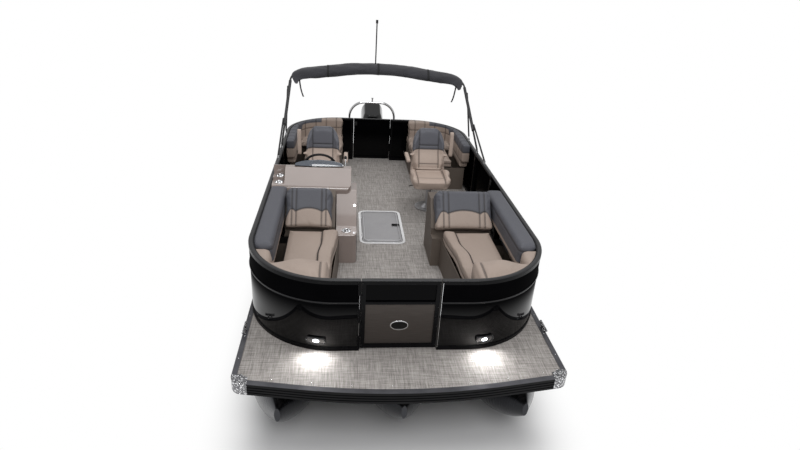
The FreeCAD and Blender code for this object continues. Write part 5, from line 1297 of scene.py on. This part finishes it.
def bow_lounge(side):
    word = "port" if side > 0 else "starboard"
    stem = "bow_lounge_" + word

    start, step = (0.648, 0.050) if side > 0 else (0.683, 0.024)

    def welt(y):
        """How far out the seat's raised border reaches: it steps outward at the knees."""
        return start + step * (1 - smooth(y, 1.31, 1.58))

    def seat_sculpt(p, n):
        line = welt(p[1])
        border = 1 - smooth(p[0] * side, line - 0.025, line + 0.015)
        waist = 0.016 * math.exp(-((p[1] - 1.36) / 0.17) ** 2) * border
        return (side * waist, 0, 0.020 * border * max(0.0, n[2]))

    seat_seams = [(sided(side, lambda p, n: p[0] - welt(p[1]) if n[2] > 0.3 else None), 0.009),
                  (sided(side, lambda p, n: p[2] - 0.372 if n[2] < 0.5 else None), 0.004)]
    shape, _, _ = solids_of(stem + "_seat")[0]
    lid = "bow_%s_lid" % word
    seat = upholster(stem + "_seat_cushion", shape, lid, [stem + "_seat"], sculpt=seat_sculpt, seams=seat_seams)
    lengths = [0.88 + 0.0245 * k for k in range(41)]
    for away in (-0.010, 0.010):
        sew(seat, lid, [(side * (welt(y) + away), y, 0.6) for y in lengths], DOWN)
    pipe(seat, lid, [(side * welt(y), y, 0.6) for y in lengths], DOWN, 0.0022)

    inner, outer = (0.448, 1.062) if side > 0 else (0.580, 1.062)
    middle, half = (inner + outer) / 2, (outer - inner) / 2

    def up_back(p):
        return (p[1] - 1.862) * math.sin(BACK_LEAN) + (p[2] - 0.430) * math.cos(BACK_LEAN)

    def crest(across):
        middle_arch = 0.205 - 0.035 * (across / 0.55) ** 2 if abs(across) < 0.55 else 0.0
        hump = 0.192 - 1.1 * (abs(across) - 0.70) ** 2 - 0.20 * max(0.0, abs(across) - 0.78)
        return max(middle_arch, hump if abs(across) > 0.5 else 0.0)

    def edge(p):
        return up_back(p) - crest((p[0] * side - middle) / half)

    def back_zone(p):
        return smooth(edge(p), -0.004, 0.004)

    def upright(share):
        return sided(side, lambda p, n: p[0] - (middle + share * half) if n[1] < 0.2 and up_back(p) > 0.02 else None)

    back_seams = [(upright(share), 0.005) for share in (-0.70, -0.52, 0.52, 0.70)]
    back_seams.append((lambda p, n: edge(p) if n[1] < 0.5 else None, 0.006))
    shape, _, _ = solids_of(stem + "_back")[0]
    back = upholster(stem + "_back_cushion", shape, "boat", [stem + "_back"], seams=back_seams, zone=back_zone,
                     held=lambda co: boat(co)[1] > 1.93 + 0.45 * (boat(co)[2] - 0.43) + 0.10, cap=0.014)
    inward = (0, math.cos(BACK_LEAN), -math.sin(BACK_LEAN))

    def before_back(across, up):
        return (side * (middle + across * half), 1.862 + up * math.sin(BACK_LEAN) - 0.2 * math.cos(BACK_LEAN),
                0.430 + up * math.cos(BACK_LEAN) + 0.2 * math.sin(BACK_LEAN))

    for share in (-0.70, -0.52, 0.52, 0.70):
        sew_beside(back, "boat", before_back(share, 0.03), before_back(share, 0.40), PORT, inward, 0.0065)
    for rise in (-0.008, 0.008):
        sew(back, "boat", [before_back(k / 40, crest(k / 40) + rise) for k in range(-37, 38)], inward)

    solids = sorted(solids_of(stem + "_pad"), key=lambda s: s[1].y + s[1].z * 0.001)
    bolster = min(solids, key=lambda s: s[1].y)
    rest = [s for s in solids if s is not bolster]
    ring = max(rest, key=lambda s: s[2].z)
    cushion = min(rest, key=lambda s: s[2].z)

    def crown(p, n):
        """The bolster rises from the rail to a crest, highest at the corner of the bow."""
        out, back = max(0.0, p[0] * side - 0.533), max(0.0, 1.25 - p[1])
        inside = 0.75 - math.hypot(out, back)
        rise = (0.014 + 0.040 * smooth(p[0] * side, 0.62, 0.92)) * (1 - 0.8 * smooth(p[1], 0.90, 1.05))
        return (0, 0, rise * smooth(inside, 0.09, 0.30) * smooth(n[2], 0.15, 0.6))

    bolster_seams = [(sided(side, lambda p, n: p[0] - 0.655 if p[1] < 0.9 else None), 0.008),
                     (lambda p, n: p[2] - 0.43 if n[2] < 0.4 else None, 0.004)]
    piece = upholster(stem + "_bow_bolster", bolster[0], "boat", [stem + "_pad"], sculpt=crown, seams=bolster_seams)
    sew_beside(piece, "boat", (side * 0.655, 0.53, 0.9), (side * 0.655, 0.85, 0.9), PORT, DOWN)
    piece = upholster(stem + "_side_rest", ring[0], "boat", slot="grey_vinyl", cap=0.009, shrink=0.004,
                      zone=lambda p: smooth(p[2], 0.497, 0.503),
                      seams=[(lambda p, n: p[2] - 0.615 if n[2] < 0.6 else None, 0.004)])
    sew_beside(piece, "boat", (side * 0.90, 1.10, 0.615), (side * 0.90, 1.86, 0.615), UP, (side, 0, 0))
    upholster(stem + "_side_cushion", cushion[0], "boat", cap=0.008, shrink=0.004,
              zone=lambda p: smooth(p[1], 1.497, 1.503))


def stern_lounge(side):
    word = "port" if side > 0 else "starboard"
    stem = "stern_lounge_" + word
    shape, _, _ = solids_of(stem + "_seat")[0]

    def seat_sculpt(p, n):
        border = 1 - smooth(p[0] * side, 0.60, 0.64)
        return (0, 0, 0.014 * border * max(0.0, n[2]))

    lid = "stern_%s_lid" % word
    seat = upholster(stem + "_seat_cushion", shape, lid, [stem + "_seat"], sculpt=seat_sculpt,
                     seams=[(sided(side, lambda p, n: p[0] - 0.62 if n[2] > 0.3 else None), 0.008),
                            (lambda p, n: p[2] - 0.372 if n[2] < 0.5 else None, 0.004)])
    sew_beside(seat, lid, (side * 0.62, 4.09, 0.6), (side * 0.62, 4.62, 0.6), PORT, DOWN, 0.009)
    shape, _, _ = solids_of(stem + "_pad")[0]

    def ribs(p, n):
        if p[2] < 0.44:
            return None
        along = p[1] if p[0] * side > 1.0 and p[1] < 4.9 else p[0] * side
        return (along / 0.15 - round(along / 0.15)) * 0.15

    def slate(p):
        """Tan beside the gate and on the rear rest's face, slate above them and on the side."""
        rear = smooth(p[1], 4.86, 4.90)
        return smooth(p[2], 0.555 + 0.075 * rear, 0.565 + 0.075 * rear) * smooth(p[0] * side, 0.815, 0.822)

    rest_seams = [(ribs, 0.006), (lambda p, n: p[2] - 0.56 if n[2] < 0.6 else None, 0.006),
                  (lambda p, n: p[2] - 0.425 if n[2] < 0.6 else None, 0.006)]
    rest = upholster(stem + "_rest", shape, "boat", [stem + "_pad"], zone=slate, seams=rest_seams, slot="grey_vinyl",
                     voxel=0.017)
    sew_beside(rest, "boat", (side * 0.90, 4.02, 0.56), (side * 0.90, 4.80, 0.56), UP, (side, 0, 0))
    sew_beside(rest, "boat", (side * 0.52, 4.85, 0.56), (side * 0.95, 4.85, 0.56), UP, AFT)


def captains_chair(name, x, y):
    """A helm chair: side bolsters, a slate head panel and a tan seat, from the CAD chair's own solid."""
    body = name + "_chair"

    def local(p):
        return p[0] - x, p[1] - y, p[2]

    def sculpt(p, n):
        u, v, h = local(p)
        move = [-u * 0.30 * smooth(h, 0.76, 1.03), 0.0, 0.0]
        if h < 0.41:
            tuck = 1 - smooth(h, 0.335, 0.41)
            move[0] -= u * 0.12 * tuck
            move[1] -= v * 0.10 * tuck
        if n[1] < -0.3 and 0.46 < h < 0.70 and abs(u) < 0.21:
            move[1] -= 0.065 * (1 - smooth(h, 0.50, 0.68)) * (1 - smooth(abs(u), 0.15, 0.21))
        if h > 0.47 and n[1] < -0.3:
            wing = smooth(abs(u), 0.135, 0.19)
            lumbar = math.exp(-((h - 0.60) / 0.07) ** 2) * (1 - wing)
            move[1] -= 0.026 * wing * smooth(h, 0.47, 0.55) * (1 - smooth(h, 0.78, 0.92)) + 0.010 * lumbar
            move[1] += 0.010 * (1 - wing)
        if h > 0.42 and h < 0.50 and n[2] > 0.3 and v < 0.15:
            wing = smooth(abs(u), 0.15, 0.20)
            move[2] += wing * (0.014 + 0.030 * math.exp(-((v - 0.02) / 0.10) ** 2)) - 0.020 * (1 - wing)
            move[2] -= 0.022 * smooth(-v, 0.15, 0.26)
        if v < -0.2 and n[1] < -0.3 and h < 0.46:
            move[1] += 0.006
        return move

    def seat_line(p, n):
        u, v, h = local(p)
        return abs(u) - 0.168 if h < 0.50 and n[2] > 0.2 and v < 0.16 else None

    def back_line(p, n):
        return abs(p[0] - x) - 0.125 if p[2] > 0.48 and n[1] < 0.1 else None

    def across(level, half):
        return lambda p, n: p[2] - level if n[1] < -0.1 and p[2] > 0.46 and abs(p[0] - x) < half else None

    def over_head_line(p):
        """Height over the line where the slate head panel meets the tan, which is lower at its outer edges."""
        return p[2] - (0.703 - 0.04 * smooth(abs(p[0] - x), 0.175, 0.225))

    def front_cross(p, n):
        u, v, h = local(p)
        return v + 0.10 if n[2] > 0.4 and h < 0.5 and abs(u) < 0.168 else None

    seams = [(seat_line, 0.005), (back_line, 0.007), (across(0.752, 0.125), 0.006), (across(0.535, 0.125), 0.003),
             (lambda p, n: over_head_line(p) if n[1] < 0.2 and p[2] > 0.6 else None, 0.005), (front_cross, 0.003)]
    node = body + "_seat"
    chair = upholster(body + "_cushion", merged(frame["nodes"][node].data), body, [node], voxel=0.013, shrink=0.007,
                      sculpt=sculpt, seams=seams, zone=lambda p: smooth(over_head_line(p), -0.003, 0.003),
                      held=lambda co: boat(co)[2] < 0.333, finish="chair")
    front = y - 0.20
    for way in (-1, 1):
        edge, panel = x + way * 0.168, x + way * 0.125
        sew_beside(chair, body, (edge, y - 0.24, 0.75), (edge, y + 0.12, 0.75), PORT, DOWN)
        sew_beside(chair, body, (panel, front, 0.50), (panel, front, 0.94), PORT, AFT, 0.006)
    for level, half in ((0.703, 0.17), (0.752, 0.118)):
        sew_beside(chair, body, (x - half, front, level), (x + half, front, level), UP, AFT, 0.006)
    for way in (-1, 1):
        dressed(turned_part("arm_hinge_cap", [(0.021, 0), (0.021, 0.004), (0.017, 0.007), (0, 0.008)],
                            at(x + way * 0.3145, y + 0.285, 0.640), (way, 0, 0), 24), "rubber",
                "%s_arm_%s" % (name, "outer" if way == (-1 if name == "helm" else 1) else "inner"))
    dressed(tube("recline_lever", [at(x - 0.15, y - 0.02, 0.312), at(x - 0.235, y - 0.03, 0.308),
                                   at(x - 0.262, y - 0.06, 0.312)], 0.0065), "rubber", body)
    for which in ("inner", "outer"):
        node = "%s_arm_%s" % (body, which)
        shape, _, _ = max(solids_of(node), key=lambda s: (s[2] - s[1]).length)
        upholster(node + "_pad", shape, "%s_arm_%s" % (name, which), [node], voxel=0.009, cap=0.004, shrink=0.002,
                  finish="chair", held=lambda co: False, rounds=2)


def canopy_boot():
    """The rolled canopy in its cover: drawn in at its ends, with soft folds, a hem, a zip and webbing straps."""
    shape, low, high = max(solids_of("bimini_boot"), key=lambda s: (s[2] - s[1]).length)
    piece = from_bmesh("canopy_boot_cover", shape)
    even = evened(piece, 0.018, 4)
    pin = at(*CANOPY_PIN)
    middle = (low + high) / 2 - pin
    rise = Vector((0, middle.y, middle.z)).normalized()
    depth = Vector(PORT).cross(rise)
    ends = {}
    for side in (-1, 1):
        reach = [((spot.co - pin).dot(rise), spot.co) for spot in even.verts if spot.co.x * side > 0.8]
        first = min(s for s, _ in reach)
        rim = [co for s, co in reach if s < first + 0.03]
        ends[side] = (first, sum(rim, Vector()) / len(rim))
    moves = []
    for spot in even.verts:
        side = 1 if spot.co.x > 0 else -1
        first, end = ends[side]
        along = (spot.co - pin).dot(rise)
        slim = 1 - smooth(along, first, first + 0.17) if abs(spot.co.x) > 0.9 else 0.0
        axis_point = end + rise * (along - first - 0.015)
        pull = (axis_point - spot.co) * (0.78 * slim) - rise * (0.05 * slim * slim)
        folds = noise.noise(Vector((spot.co.x * 4.0, spot.co.y * 15.0, spot.co.z * 15.0)))
        small = noise.noise(Vector((spot.co.x * 15.0, spot.co.y * 40.0, spot.co.z * 40.0)))
        flat = depth * (-0.16 * (spot.co - pin).dot(depth))
        moves.append(spot.normal * (0.006 * folds + 0.003 * small - 0.004) + pull + flat)
    for spot, move in zip(even.verts, moves):
        spot.co += move
    even.to_mesh(piece.data)
    even.free()
    refined(piece).data.shade_smooth()
    dressed(piece, "canvas", "canopy", "canvas", "bimini_boot")
    _, y, h = boat(pin + Vector((0, middle.y, middle.z)))
    hem = skim(piece, [(k * 0.045, y, h - 0.5) for k in range(-24, 25)], UP, 0.001)
    dressed(tube("boot_hem", [spot for spot, _ in hem], 0.0055), "canvas", "canopy")
    zip_line = skim(piece, [boat(spot + Vector((0, -0.4, 0.045))) for spot, _ in hem], AFT, 0.0005)
    row("boot_zip", [zip_line], "rib", "rubber", "canopy", 0.009, size=0.16)
    for x in (-0.72, 0.0, 0.72):
        loop = section_loop(piece.data, Vector((x, 0, 0)), Vector(PORT))[-1]
        centre = sum(loop, Vector()) / len(loop)
        web = bmesh.new()
        rings = [[web.verts.new(spot + Vector((across, 0, 0)) + (spot - centre).normalized() * lift)
                  for across, lift in ((-0.014, -0.002), (-0.014, 0.003), (0.014, 0.003), (0.014, -0.002))]
                 for spot in loop[::2]]
        dressed(from_bmesh("boot_strap", loft(web, rings, closed=True)), "rubber", "canopy")
    for side, (first, end) in ends.items():
        leg = []
        for share in (0.30, 0.45, 0.6, 0.75, 0.9, 1.0):
            plane = pin + rise * (first * share + 0.01)
            loops = section_loop(frame["nodes"]["bimini_bow"].data, plane, rise)
            own = [loop for loop in loops if sum(spot.x for spot in loop) * side > 0]
            if own:
                leg.append(sum(own[-1], Vector()) / len(own[-1]))
        if len(leg) > 1:
            dressed(tube("leg_sleeve", leg, 0.0205, sides=16), "sleeve", "canopy")
        web = bmesh.new()
        line = [end + Vector((-side * (0.045 + 0.05 * t * t), -0.02 + 0.015 * math.sin(5 * t), 0.02 - 0.23 * t))
                for t in [k / 10 for k in range(11)]]
        corners = ((-0.010, -0.002), (0.010, -0.002), (0.010, 0.002), (-0.010, 0.002))
        rings = [[web.verts.new(spot + Vector((a, b, 0))) for a, b in corners] for spot in line]
        dressed(from_bmesh("hanging_strap", loft(web, rings)), "rubber", "canopy")


def main():
    camera()
    studio()
    finishes()
    coat_frame()
    row_tree()
    small_parts()
    rails()
    gate_fittings()
    docking_lamps()
    deck_fixings()
    hatch_fittings()
    helm_fittings()
    console_fittings()
    aft_fittings()
    for side in (1, -1):
        bow_lounge(side)
        stern_lounge(side)
    captains_chair("helm", *HELM_CHAIR)
    captains_chair("mate", *MATE_CHAIR)
    canopy_boot()
    sewing()
    clear_small_parts()


main()
bpy.context.view_layer.update()
